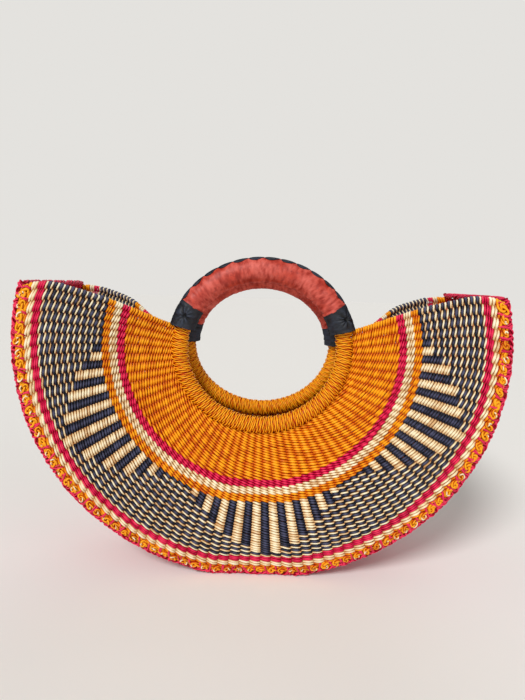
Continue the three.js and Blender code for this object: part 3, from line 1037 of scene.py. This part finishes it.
class BASKET_OT_lashing(bpy.types.Operator):
    """Whip the walls' rims to the gusset with magenta straw"""

    bl_idname = "basket.lashing"
    bl_label = "Seam Lashing"

    def execute(self, context):
        straw_radius = sizes().lashing_straw
        material, slot = straw("magenta")
        for side, wall in WALLS.items():
            draw = draws(side, "lashing")
            strands = [self.winding(side, straw_radius, draw), self.core(side)]
            piece = weave(wall + "_seam_wrap", strands, material, "lashing",
                          depth=LASHING_RADIUS - straw_radius, uneven=LASHING_UNEVENNESS)
            settle(piece, wall, slot, wall + "_seam_lashing")
            strands = self.stitches(side, draw) + self.crossings(side, draw)
            piece = weave(wall + "_whip_stitches", strands, material, "stitches",
                          uneven=LASHING_UNEVENNESS)
            settle(piece, wall, slot)
        return {"FINISHED"}

    def axes(self, side, along):
        """The seam's axes, on a line that runs a little past both of its ends."""
        return seam_axes(side, seam_angle(along) + PAST_CORNER * (2 * along - 1))

    def winding(self, side, radius, draw):
        count = np.linspace(0, LASHING_TURNS, LASHING_TURNS * LASHING_STEPS + 1)
        turn = FULL_TURN * count
        wander = smooth_noise(draw, count, *LASHING_WANDER) + LASHING_SLANT * np.sin(turn)
        along = np.clip((count + wander) / LASHING_TURNS, 0, 1)
        middle, outward, sideways = self.axes(side, along)
        lumps = 1 + smooth_noise(draw, count, *LASHING_LUMPS)
        lumps = lumps + smooth_noise(draw, count, *LASHING_WAVES)
        girth = radius * (1 + smooth_noise(draw, count, *LASHING_GIRTHS))
        return strand(middle, girth, circling(turn, outward, sideways) * lumps[:, None],
                      shade=smooth_noise(draw, count, *LASHING_SHADES))

    def core(self, side):
        middle, _, _ = self.axes(side, np.linspace(0, 1, 2 * LASHING_TURNS))
        # Painted shade: the core shows only between the turns of the winding
        return strand(middle, LASHING_CORE, crest=LASHING_CORE_CREST)

    def stitches(self, side, draw):
        """Stitches between the knots, from the natural rows out over the rim."""
        made = []
        places = np.repeat(np.arange(BAND_SPOKES + 1.0), STITCHES_A_KNOT)
        for k in places + draw.normal(0, STITCH_ASIDE_SPREAD, len(places)):
            leaning = max(0, 1 - k / BAND_SPOKES / LEANING_SHARE)
            slant = draw.normal(STITCH_SLANT, STITCH_SLANT_SPREAD) - LEANING_SLANT * leaning
            aside = np.linspace(-0.5, 0.5, len(STITCH_LIFTS)) * slant
            along = np.clip((k + aside) / BAND_SPOKES, 0, 1)
            first = 1 - draw.uniform(*STITCH_REACHES_MM) / WALL_WIDTH
            middle, normal, _, _ = wall_axes(side, along, np.linspace(first, 1, len(along)))
            last = seam_angle(along[-1:] + slant / BAND_SPOKES / 3)
            seam, outward, sideways = seam_axes(side, last)
            co = np.concatenate([middle + normal * STITCH_LIFTS[:, None],
                                 seam + sideways * STITCH_BESIDE_SEAM,
                                 seam + outward * STITCH_OVER_SEAM])
            made.append(strand(co, STITCH_STRAW * draw.uniform(*STITCH_GIRTHS),
                               np.concatenate([normal, sideways, outward]),
                               shade=draw.normal(0, STITCH_SHADES)))
        return made

    def crossings(self, side, draw):
        """Stitches that run slantwise over the outside of the rim."""
        made = []
        for k in np.arange(CROSSING_START, BAND_SPOKES, CROSSING_PITCH):
            slant = draw.normal(CROSSING_SLANT, CROSSING_SLANT_SPREAD) * draw.choice([-1, 1])
            aside = np.linspace(-0.5, 0.5, len(CROSSING_TURNS)) * slant
            along = np.clip((k + aside) / BAND_SPOKES, 0, 1)
            middle, outward, sideways = seam_axes(side, seam_angle(along))
            facing = circling(CROSSING_TURNS, outward, sideways)
            reach = CROSSING_REACH + CROSSING_REACH_SPREAD * draw.standard_normal()
            made.append(strand(middle + facing * reach,
                               CROSSING_STRAW * draw.uniform(*CROSSING_GIRTHS), facing,
                               shade=draw.normal(0, STITCH_SHADES)))
        return made


# The gusset

GUSSET_ROWS = 336
GUSSET_SPOKES = 5
GUSSET_STEPS = 4
GUSSET_LINE_POINTS, GUSSET_SPOKE_POINTS = 4000, 90
GUSSET_SIDES = {FRONT: range(1 - GUSSET_SPOKES, 1), BACK: range(1, GUSSET_SPOKES)}
GUSSET_NODES = ("gusset_base", "gusset_side_left", "gusset_side_right")
GUSSET_DEPTH = 0.9 * MM
GUSSET_RISE_SHARE, GUSSET_FULLNESS_SHARE = 0.8, 1.08
GUSSET_SUNK = 2.3 * MM
GUSSET_ASIDE_SPREAD, GUSSET_GIRTH_SPREAD = 0.05, 0.06

HEM_POINTS = 60
HEM_HALVES = {FRONT: slice(0, HEM_POINTS // 2 + 1), BACK: slice(HEM_POINTS // 2 - 1, HEM_POINTS)}
HEM_PLIES = 6
HEM_STRAW, HEM_CORE, HEM_DEPTH = 1.35 * MM, 1.6 * MM, 2.15 * MM
HEM_TWIST = 7 * MM
HEM_WANDER, HEM_SHADES = (12, 0.25), (9, 0.5)
HEM_END_GAP, HEM_END_SHARPNESS, HEM_END_GIRTH = 0.3 * MM, 16, 0.05
HEM_UNEVENNESS = 0.1


class BASKET_OT_gusset(bpy.types.Operator):
    """Twine the magenta strip of the base and the sides, and roll its two hems"""

    bl_idname = "basket.gusset"
    bl_label = "Gusset"

    def execute(self, context):
        size = sizes()
        material, slot = straw("magenta")
        angles, pitch = self.row_angles()
        for side, wall in WALLS.items():
            draw = draws(side, "gusset")
            strands = [self.half_row(side, angle, pitch, draw) for angle in angles]
            piece = weave(wall + "_gusset_rows", strands, material, "gusset", GUSSET_DEPTH,
                          GUSSET_RISE_SHARE * size.weave_rise,
                          GUSSET_FULLNESS_SHARE * size.straw_fullness)
            self.settle_half(piece, side, slot, *GUSSET_NODES)
        angle = seam_angle(np.linspace(0, 1, GUSSET_SPOKE_POINTS))
        for side, wall in WALLS.items():
            lines = [self.axes(angle, self.half_width(angle) * k / GUSSET_SPOKES)[0]
                     for k in GUSSET_SIDES[side]]
            strands = [strand(line, size.spoke_radius) for line in lines]
            piece = weave(wall + "_gusset_spokes", strands, material, "gusset_spokes")
            self.settle_half(piece, side, slot, *GUSSET_NODES)
        for name, along, onward in (("left", 0.0, -1), ("right", 1.0, 1)):
            self.hem(name, along, onward, material, slot)
        return {"FINISHED"}

    def settle_half(self, piece, side, slot, *nodes):
        """Bakes the half's place into its mesh and hides the solids that it stands for."""
        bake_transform(piece)
        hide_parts(*nodes)

    def half_width(self, angle):
        return seam_half_depth(angle) - LASHING_RADIUS / 2

    def axes(self, angle, y):
        """Middle of the strip, and there the ways outwards and along it."""
        outward, ahead = strip_axes(lambda a: polar(a, seam_reach(a), 0), angle)
        return polar(angle, seam_reach(angle), y) - outward * GUSSET_SUNK, outward, ahead

    def row_angles(self):
        """Angles of the rows, evenly spaced along the strip, and their width."""
        fine = seam_angle(np.linspace(0, 1, GUSSET_LINE_POINTS))
        run = run_along(polar(fine, seam_reach(fine), 0))
        pitch = run[-1] / GUSSET_ROWS
        return np.interp((np.arange(GUSSET_ROWS) + 0.5) * pitch, run, fine), pitch

    def half_row(self, side, angle, pitch, draw):
        """One row from the middle of the strip to its edge and back."""
        s = np.arange(GUSSET_SPOKES * GUSSET_STEPS + 1) / GUSSET_STEPS
        phase = HALF_TURN * s
        at = np.full(len(s), angle + draw.normal(0, GUSSET_ASIDE_SPREAD) * pitch / SEAM_DROP)
        middle, outward, ahead = self.axes(at, side * self.half_width(angle) * s / GUSSET_SPOKES)
        stitch = np.rint(s).astype(int)
        wave = stitch_wave(phase)[:, None] * outward
        slant = (side * np.sin(phase) * pitch)[:, None] * ahead
        turn, swing = turn_back(middle[-1], outward[-1], np.array([0.0, side, 0.0]),
                                math.cos(HALF_TURN * GUSSET_SPOKES))
        girth = ROW_WIDTH_SHARE * pitch * about_one(draw, GUSSET_GIRTH_SPREAD, len(s))
        girth = girth * np.sqrt(plumpness(phase))
        shade = draw.normal(0, STITCH_SHADE_SPREAD, (2, GUSSET_SPOKES + 1))[:, stitch]
        # crest: 1 on the middle of a stitch, 0 where it dives behind a spoke; painted shade there,
        # a painted highlight on the middle
        crest = np.abs(np.cos(phase))

        def both(there, back):
            return np.concatenate([there, np.repeat(there[-1], TURN_STEPS), back[::-1]])

        return strand(np.concatenate([middle, turn, middle[::-1]]), both(girth, girth),
                      np.concatenate([wave, swing, -wave[::-1]]),
                      np.concatenate([slant, np.zeros((TURN_STEPS, 3)), -slant[::-1]]),
                      shade=both(*shade), crest=both(crest, crest))

    def hem(self, name, along, onward, material, slot):
        """A rolled end: straws twisted into a rope across the strip, a half of it for each wall."""
        draw = draws(onward, "hems")
        angle = seam_angle(along) + onward * HEM_RADIUS / SEAM_HALF_WIDTH
        half = float(self.half_width(angle))
        y = np.linspace(-half, half, HEM_POINTS)
        centre = polar(np.full(len(y), angle), seam_reach(angle) - HEM_RADIUS, y)
        radial = unit((centre[0] - (0, 0, RING_HEIGHT)) * (1, 0, 1))
        upward = np.array([-radial[2], 0, radial[0]])
        near_end = (np.abs(y) / (half + HEM_END_GAP)) ** HEM_END_SHARPNESS
        round_off = np.sqrt(np.clip(1 - near_end, HEM_END_GIRTH, 1))
        plies = []
        for k in range(HEM_PLIES):
            wander = smooth_noise(draw, y / MM, *HEM_WANDER)
            swing = circling(FULL_TURN * (k / HEM_PLIES) + y / HEM_TWIST + wander, radial, upward)
            plies.append((HEM_STRAW * round_off, swing * round_off[:, None],
                          smooth_noise(draw, y / MM, *HEM_SHADES)))
        plies.append((HEM_CORE * round_off, 0 * centre, 0 * y))
        for side, wall in WALLS.items():
            part = HEM_HALVES[side]
            strands = [strand(centre[part], girth[part], swing[part], shade=shade[part])
                       for girth, swing, shade in plies]
            piece = weave(f"{wall}_gusset_hem_rope_{name}", strands, material, "hems",
                          depth=HEM_DEPTH, uneven=HEM_UNEVENNESS)
            self.settle_half(piece, side, slot, "gusset_hem_" + name)


# The handle rings

WRAP_STEPS, WRAP_TWISTS = 32, 2.3
WRAP_TUCK = math.radians(1)
WRAP_DRIFT, WRAP_LUMPS, WRAP_SHADES = (0.5, 0.22), (0.6, 0.12), (0.4, 0.55)
# A ply's crest is lower where it twists into the ring, for painted shade between the plies, and
# higher where it twists out, for a painted highlight
WRAP_CREST, WRAP_CREST_CHANGE = 0.9, 0.3
WRAP_UNEVENNESS, WRAP_SIDES = 0.06, 5
# CORE_CREST is low, so the core between the turns is painted in the hollow colour, as painted shade
CORE_STRAWS_IN, CORE_SIDES, CORE_CREST = 2.2, 20, 0.1

SLEEVE_TUCK = math.radians(0.6)
SLEEVE_ROUNDS, SLEEVE_LOOPS, SLEEVE_RIM = 44, 190, 0.8 * MM
SLEEVE_FOLDS = (34, 1.2)
SLEEVE_END, SLEEVE_DEPTH, SLEEVE_END_DEPTH, SLEEVE_SUNK = 0.3, 0.55, 0.9, 0.05 * MM
# Levels of the painted shade and painted sheen that the sleeve's folds give
SLEEVE_SHADE, SLEEVE_FOLD_SHADE = 0.6, 0.8

CUFF_ROUNDS, CUFF_LOOPS, CUFF_RIM = 84, 44, 1.6 * MM
CUFF_FOLDS = (30, 0.4)
CUFF_SUNK = 0.2 * MM
CUFF_PINCHES = {"right": math.radians(62), "left": math.radians(86)}
DIMPLE_DEPTH, DIMPLE_RADIUS, DIMPLE_SHADE_DEPTH = 2.8 * MM, 1.9 * MM, 3 * MM
PLEATS, PLEAT_WARP, PLEAT_REACH, PLEAT_DEPTH, SOFT_DEPTH = 9, 2.4, 4.5 * MM, 0.9 * MM, 0.45 * MM
# Levels of the painted shade and painted sheen that the cuff's pleats, soft folds and dimple give
CUFF_SHADE, PLEAT_SHADE, SOFT_SHADE = 0.5, 0.6, 0.5

WARP_ALONG, WARP_ROUND = 9, 1.3
CRINKLE_ALONG, CRINKLE_ROUND, CRINKLE_NOISE = 26, 1.6, (0.8, 2.1, 4)
RIDGE_DEPTH, RIDGE_WARP, RIDGE_SLANT = 0.55, 0.05, 1.7

LACE_LENGTH, LACE_REACH, LACE_THICKNESS = 17 * MM, math.radians(42), 1.3 * MM
LACE_STEPS, LACE_ROUNDS = 13, 10
LACE_ROUNDNESS, LACE_FULLNESS, LACE_LEAST = 2.2, 0.62, 0.06
LACE_SUNK, LACE_EDGE_SHARE, LACE_SLANT = 0.3 * MM, 0.35, 0.16
# LACE_SHADE: level of the painted shade and painted sheen on the lace loops
LACE_SHADE, LACE_TURN_SPREAD = 0.8, 0.05
LACE_LINE_POINTS = 600


class BASKET_OT_ring_wraps(bpy.types.Operator):
    """Wind fine orange straw round the lower part of both rings"""

    bl_idname = "basket.ring_wraps"
    bl_label = "Ring Wraps"

    def execute(self, context):
        size = sizes()
        radius = size.wrap_straw
        material, slot = straw("orange")
        for side, wall in WALLS.items():
            draw = draws(side, "rings")
            t = np.linspace(0, 1, size.wrap_turns * WRAP_STEPS + 1)
            tucked = CUFF_START[side] + WRAP_TUCK
            angle = HALF_TURN - tucked + (HALF_TURN + 2 * tucked) * t
            count = t * size.wrap_turns
            turn = FULL_TURN * count
            drift = smooth_noise(draw, count, *WRAP_DRIFT) * MM
            base = WRAP_RADIUS - 2 * radius + smooth_noise(draw, count, *WRAP_LUMPS) * MM
            centre = tube_point(side, angle, turn, 0.0)
            plies = []
            for ply in (0, HALF_TURN):
                twist = FULL_TURN * WRAP_TWISTS * count + ply
                aside = (drift + radius * np.sin(twist)) / RING_HALF_WIDTH[side]
                place = tube_point(side, angle + aside, turn, base + radius * np.cos(twist))
                # Painted shade where a ply twists in, painted highlight where it twists out
                plies.append(strand(centre, radius, place - centre,
                                    shade=smooth_noise(draw, count, *WRAP_SHADES),
                                    crest=WRAP_CREST + WRAP_CREST_CHANGE * np.cos(twist)))
            piece = weave(wall + "_ring_winding", plies, material, "ring_winding", depth=1.0,
                          uneven=WRAP_UNEVENNESS, sides=WRAP_SIDES)
            settle(piece, wall, slot, wall + "_ring_wrap")
            line = tube_point(side, angle[::WRAP_STEPS], 0.0, 0.0)
            # The core shows only in the gaps between turns, painted in the hollow colour as painted
            # shade
            core = [strand(line, WRAP_RADIUS - CORE_STRAWS_IN * radius, crest=CORE_CREST)]
            piece = weave(wall + "_ring_core", core, material, "ring_core", uneven=0.0,
                          sides=CORE_SIDES)
            settle(piece, wall, slot)
        return {"FINISHED"}


def sleeve_points(side, first, last, radius, rounds, loops, rim, shape):
    """Loops of points round the ring's tube, rolled in at both ends, and the painted shade and
    sheen that the leather's folds give.
    """
    angle = np.linspace(first, last, loops)
    turn = np.linspace(0, FULL_TURN, rounds, endpoint=False)
    angle, turn = np.meshgrid(angle, turn, indexing="ij")
    relief, fold = shape(angle, turn)
    points = tube_point(side, angle, turn, radius + relief)
    ends = [tube_point(side, angle[edge], turn[edge], radius - rim + relief[edge])[None]
            for edge in (0, -1)]
    return (np.concatenate([ends[0], points, ends[1]]),
            np.concatenate([fold[:1], fold, fold[-1:]]))


def leather_mesh(name, points, fold, material):
    mesh = grid_mesh(name, points, material)
    # Low values paint shade where the leather sinks, high ones a painted sheen where it rises
    add_attribute(mesh, "fold", np.clip(fold, 0, 1).astype(np.float32))
    return mesh


def ridges(angle, turn, draw, pleats, slope):
    """Soft folds that run across the sleeve, from -1 to 1."""
    phase = draw.uniform(0, FULL_TURN)

    def warp_at(a, b):
        return noise.noise(Vector((
            a * WARP_ALONG, math.cos(b) * WARP_ROUND + phase, math.sin(b) * WARP_ROUND)))

    def crinkle_at(a, b):
        b = b + slope * a
        return noise.fractal(Vector((
            a * CRINKLE_ALONG + phase, math.cos(b) * CRINKLE_ROUND, math.sin(b) * CRINKLE_ROUND)),
            *CRINKLE_NOISE)

    warp = np.vectorize(warp_at)(angle, turn)
    ridge = np.sin(pleats * (angle + RIDGE_WARP * warp) + RIDGE_SLANT * np.sin(turn * 2 + phase))
    return RIDGE_DEPTH * ridge * warp + np.vectorize(crinkle_at)(angle, turn)


def bump(distance, width):
    return np.exp(-(distance / width) ** 2)


class BASKET_OT_grips(bpy.types.Operator):
    """Wrap the grips in wrinkled leather, closed with black lacing and cuffs"""

    bl_idname = "basket.grips"
    bl_label = "Grips"

    def execute(self, context):
        red, black = shared("red_leather", leather), shared("black_leather", leather)
        loop = self.lace_loop(black)
        for side, wall in WALLS.items():
            draw = draws(side, "grips")
            self.sleeve(side, wall, red, draw)
            middle = CUFF_START[side] + CUFF_SPAN / 2
            for hand, place in (("right", middle), ("left", HALF_TURN - middle)):
                self.cuff(side, wall, hand, place, black, draw)
            self.lacing(side, wall, loop, black)
        bpy.data.objects.remove(loop)
        return {"FINISHED"}

    def sleeve(self, side, wall, red, draw):
        depth = sizes().wrinkle_depth
        first = CUFF_START[side] + CUFF_SPAN - SLEEVE_TUCK
        last = HALF_TURN - first

        def shape(angle, turn):
            folds = ridges(angle, turn, draw, *SLEEVE_FOLDS)
            near_end = bump(angle - first, SLEEVE_END) + bump(angle - last, SLEEVE_END)
            relief = depth * folds * (SLEEVE_DEPTH + SLEEVE_END_DEPTH * near_end)
            # Painted shade in the sunk folds, painted sheen on the raised ones
            return relief - SLEEVE_SUNK, SLEEVE_SHADE + SLEEVE_FOLD_SHADE * folds

        points, fold = sleeve_points(side, first, last, LEATHER_RADIUS, SLEEVE_ROUNDS,
                                     SLEEVE_LOOPS, SLEEVE_RIM, shape)
        name = wall + "_grip_sleeve"
        piece = add_object(name, leather_mesh(name, points, fold, red))
        settle(piece, wall, "leather_red", wall + "_grip_leather", wall + "_grip_padding")

    def cuff(self, side, wall, hand, middle, black, draw):
        phase = draw.uniform(0, FULL_TURN)

        def shape(angle, turn):
            off_turn = np.angle(np.exp(1j * (turn - CUFF_PINCHES[hand]))) * CUFF_RADIUS
            off_along = (angle - middle) * RING_HALF_WIDTH[side]
            away = np.hypot(off_turn, off_along)
            way = np.arctan2(off_along, off_turn)
            dimple = -DIMPLE_DEPTH * bump(away, DIMPLE_RADIUS)
            pleat = np.sin(PLEATS * way + phase + PLEAT_WARP * np.sin(2 * way + phase))
            pleat = pleat * bump(away - PLEAT_REACH, PLEAT_REACH)
            soft = ridges(angle, turn, draw, *CUFF_FOLDS)
            relief = dimple + PLEAT_DEPTH * pleat + SOFT_DEPTH * soft - CUFF_SUNK
            # Painted shade in the sunk pleats and in the dimple, painted sheen on the raised pleats
            fold = CUFF_SHADE + PLEAT_SHADE * pleat + SOFT_SHADE * soft
            return relief, fold + dimple / DIMPLE_SHADE_DEPTH

        half = CUFF_SPAN / 2
        points, fold = sleeve_points(side, middle - half, middle + half, CUFF_RADIUS, CUFF_ROUNDS,
                                     CUFF_LOOPS, CUFF_RIM, shape)
        name = f"{wall}_{hand}_cuff_patch"
        piece = add_object(name, leather_mesh(name, points, fold, black))
        settle(piece, wall, "leather_black", f"{wall}_cuff_{hand}")

    def lace_loop(self, black):
        """One flat loop of lace, bent over the crest of a tube along X with its crest at Z 0."""
        v, way = np.meshgrid(np.linspace(-1, 1, LACE_STEPS),
                             np.arange(LACE_ROUNDS) * FULL_TURN / LACE_ROUNDS, indexing="ij")
        half = np.maximum((1 - np.abs(v) ** LACE_ROUNDNESS) ** LACE_FULLNESS, LACE_LEAST)
        turn = half * LACE_REACH * np.cos(way)
        thick = LACE_THICKNESS * (LACE_EDGE_SHARE + (1 - LACE_EDGE_SHARE) * half)
        radius = LEATHER_RADIUS - LACE_SUNK + thick * (1 + np.sin(way)) / 2
        x = v * LACE_LENGTH / 2 + LACE_SLANT * LACE_LENGTH * turn / LACE_REACH
        bend = RING_HALF_WIDTH[FRONT] + LEATHER_RADIUS
        z = radius * np.cos(turn) - LEATHER_RADIUS - x**2 / (2 * bend)
        points = np.stack([x, radius * np.sin(turn), z], axis=-1)
        mesh = leather_mesh("lace_loop", points, np.full(x.shape, LACE_SHADE), black)
        mesh.polygons.foreach_set("use_smooth", [True] * len(mesh.polygons))
        return add_object("lace_loop", mesh)

    def lacing(self, side, wall, loop, black):
        """Sets the loops along the outer crest of the grip."""
        first = CUFF_START[side] + CUFF_SPAN
        fine = np.linspace(first, HALF_TURN - first, LACE_LINE_POINTS)
        run = run_along(tube_point(side, fine, 0.0, LEATHER_RADIUS))
        count = int(round(run[-1] / sizes().lace_pitch))
        at = np.interp((np.arange(count) + 0.5) * run[-1] / count, run, fine)
        co = tube_point(side, at, 0.0, LEATHER_RADIUS)
        mesh = bpy.data.meshes.new("lace_stations")
        mesh.from_pydata(co, [], [])
        outward = unit(co - tube_point(side, at, 0.0, 0.0))
        add_attribute(mesh, "outward", outward, "FLOAT_VECTOR")
        ahead = unit(tube_point(side, at + NUDGE, 0.0, LEATHER_RADIUS) - co)
        add_attribute(mesh, "ahead", ahead, "FLOAT_VECTOR")
        piece = grow(wall + "_lacing", mesh, shared("lace_loops", lace_tree), {
            "Loop": loop, "Turn Spread": LACE_TURN_SPREAD, "Seed": LACE_SEED, "Leather": black})
        settle(piece, wall, "leather_black", wall + "_grip_lacing")


class BASKET_OT_hoops(bpy.types.Operator):
    """Finish the bent cane hoops inside the rings"""

    bl_idname = "basket.hoops"
    bl_label = "Hoops"

    def execute(self, context):
        colour = colours().cane
        cane, tree, shader = new_material("cane")
        grain = node(tree, "ShaderNodeTexWave", {
            "Vector": object_place(tree), "Scale": CANE_SCALE, "Distortion": CANE_DISTORTION,
            "Detail": CANE_DETAIL}).outputs["Fac"]
        dark = tinted(colour, (CANE_TINT,) * 3)
        tree.links.new(mixed_colour(tree, grain, dark, (*colour, 1)), shader["Base Color"])
        shader["Roughness"].default_value = CANE_ROUGHNESS
        for wall in WALLS.values():
            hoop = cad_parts[wall + "_hoop"]
            hoop.data.materials.clear()
            hoop.data.materials.append(cane)
        return {"FINISHED"}


# The stage

FLOOR_RADIUS, FLOOR_SIDES, FLOOR_DROP = 9, 96, 0.8 * MM
FLOOR_ROUGHNESS = 0.85
LAMPS = (
    ("key_light", (-0.8, -1.5, 1.7), 0.3, 2.3),
    ("fill_light", (1.6, -1.2, 0.9), 0.7, 0.35),
    ("back_light", (0.5, 1.7, 1.5), 0.7, 0.35),
)
LAMP_AIM = Vector((0, 0, 0.18))
WORLD_LIGHT, WORLD_SEEN = 0.36, 0.88
FOCAL_PIXELS = 479.0
FRAME_HEIGHT_PIXELS = 700.0
SENSOR_MM = 36.0
CLIP_START = 10 * MM
CAMERA_DISTANCE = 517 * MM
CAMERA_PITCH = math.radians(8)
CAMERA_ROLL = math.radians(-2)
CAMERA_SHIFT_RIGHT = 0.4 * MM
CAMERA_SHIFT_UP = -4.1 * MM


class BASKET_OT_stage(bpy.types.Operator):
    """Set the plain floor, the soft lights and the camera"""

    bl_idname = "basket.stage"
    bl_label = "Stage"

    def execute(self, context):
        self.floor()
        self.lights()
        self.world()
        self.camera()
        context.scene.view_settings.view_transform = "Standard"
        return {"FINISHED"}

    def floor(self):
        bpy.ops.mesh.primitive_circle_add(
            vertices=FLOOR_SIDES, radius=FLOOR_RADIUS, fill_type="NGON",
            location=(0, 0, -FLOOR_DROP))
        floor = bpy.context.object
        floor.name = "floor"
        material, _, shader = new_material("plain_floor")
        shader["Base Color"].default_value = (*colours().floor, 1)
        shader["Roughness"].default_value = FLOOR_ROUGHNESS
        floor.data.materials.append(material)
        floor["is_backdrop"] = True

    def lights(self):
        for name, place, width, power in LAMPS:
            lamp = bpy.data.lights.new(name, "SUN")
            lamp.angle = width
            lamp.energy = power
            holder = bpy.data.objects.new(name, lamp)
            holder.location = place
            aim = LAMP_AIM - Vector(place)
            holder.rotation_euler = aim.to_track_quat("-Z", "Y").to_euler()
            bpy.context.scene.collection.objects.link(holder)

    def world(self):
        """A plain background that is seen brighter than it lights."""
        world = bpy.data.worlds.new("plain_background")
        bpy.context.scene.world = world
        world.use_nodes = True
        tree = world.node_tree
        light, seen = tree.nodes["Background"], tree.nodes.new("ShaderNodeBackground")
        for background, strength in ((light, WORLD_LIGHT), (seen, WORLD_SEEN)):
            background.inputs["Color"].default_value = (*colours().floor, 1)
            background.inputs["Strength"].default_value = strength
        looked_at = tree.nodes.new("ShaderNodeLightPath").outputs["Is Camera Ray"]
        mixed = node(tree, "ShaderNodeMixShader", {
            0: looked_at, 1: light.outputs[0], 2: seen.outputs[0]})
        tree.links.new(mixed.outputs[0], tree.nodes["World Output"].inputs["Surface"])

    def camera(self):
        data = bpy.data.cameras.new("camera")
        data.sensor_width = SENSOR_MM
        data.lens = FOCAL_PIXELS / FRAME_HEIGHT_PIXELS * SENSOR_MM
        data.clip_start = CLIP_START
        camera = bpy.data.objects.new("camera", data)
        bpy.context.scene.collection.objects.link(camera)
        right = Vector((1, 0, 0))
        up = Vector((0, math.sin(CAMERA_PITCH), math.cos(CAMERA_PITCH)))
        ahead = Vector((0, math.cos(CAMERA_PITCH), -math.sin(CAMERA_PITCH)))
        place = right * CAMERA_SHIFT_RIGHT + up * CAMERA_SHIFT_UP - ahead * CAMERA_DISTANCE
        turn = Matrix.Rotation(CAMERA_ROLL, 3, "Y")
        axes = Matrix([turn @ v for v in (right, up, -ahead)]).transposed().to_4x4()
        ring_middle = Vector((0, 0, RING_HEIGHT))
        camera.matrix_world = Matrix.Translation(turn @ place + ring_middle) @ axes
        bpy.context.scene.camera = camera


class BASKET_PT_panel(bpy.types.Panel):
    """Sizes and colours of the basket, and the steps that make it"""

    bl_idname = "BASKET_PT_panel"
    bl_label = "Straw Basket"
    bl_space_type = "VIEW_3D"
    bl_region_type = "UI"
    bl_category = "Basket"

    def draw(self, context):
        for group in (sizes(), colours()):
            box = self.layout.box()
            for name in group.bl_rna.properties.keys():
                if name not in ("rna_type", "name"):
                    box.prop(group, name)
        for step in STEPS:
            self.layout.operator(step.bl_idname)


STEPS = (
    BASKET_OT_stage,
    BASKET_OT_walls,
    BASKET_OT_knots,
    BASKET_OT_lashing,
    BASKET_OT_gusset,
    BASKET_OT_ring_wraps,
    BASKET_OT_grips,
    BASKET_OT_hoops,
)
CLASSES = (BasketSizes, BasketColours, *STEPS, BASKET_PT_panel)


def register():
    for cls in CLASSES:
        bpy.utils.register_class(cls)
    bpy.types.Scene.basket_sizes = bpy.props.PointerProperty(type=BasketSizes)
    bpy.types.Scene.basket_colours = bpy.props.PointerProperty(type=BasketColours)


def unregister():
    del bpy.types.Scene.basket_colours
    del bpy.types.Scene.basket_sizes
    for cls in reversed(CLASSES):
        bpy.utils.unregister_class(cls)


def main():
    register()
    bpy.ops.basket.stage()
    bpy.ops.basket.walls()
    bpy.ops.basket.knots()
    bpy.ops.basket.lashing()
    bpy.ops.basket.gusset()
    bpy.ops.basket.ring_wraps()
    bpy.ops.basket.grips()
    bpy.ops.basket.hoops()
    boxes = {"cad": CAD_BOX, "visual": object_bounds()}
    {name: [list(corner) for corner in box] for name, box in boxes.items()}


if __name__ == "__main__":
    main()
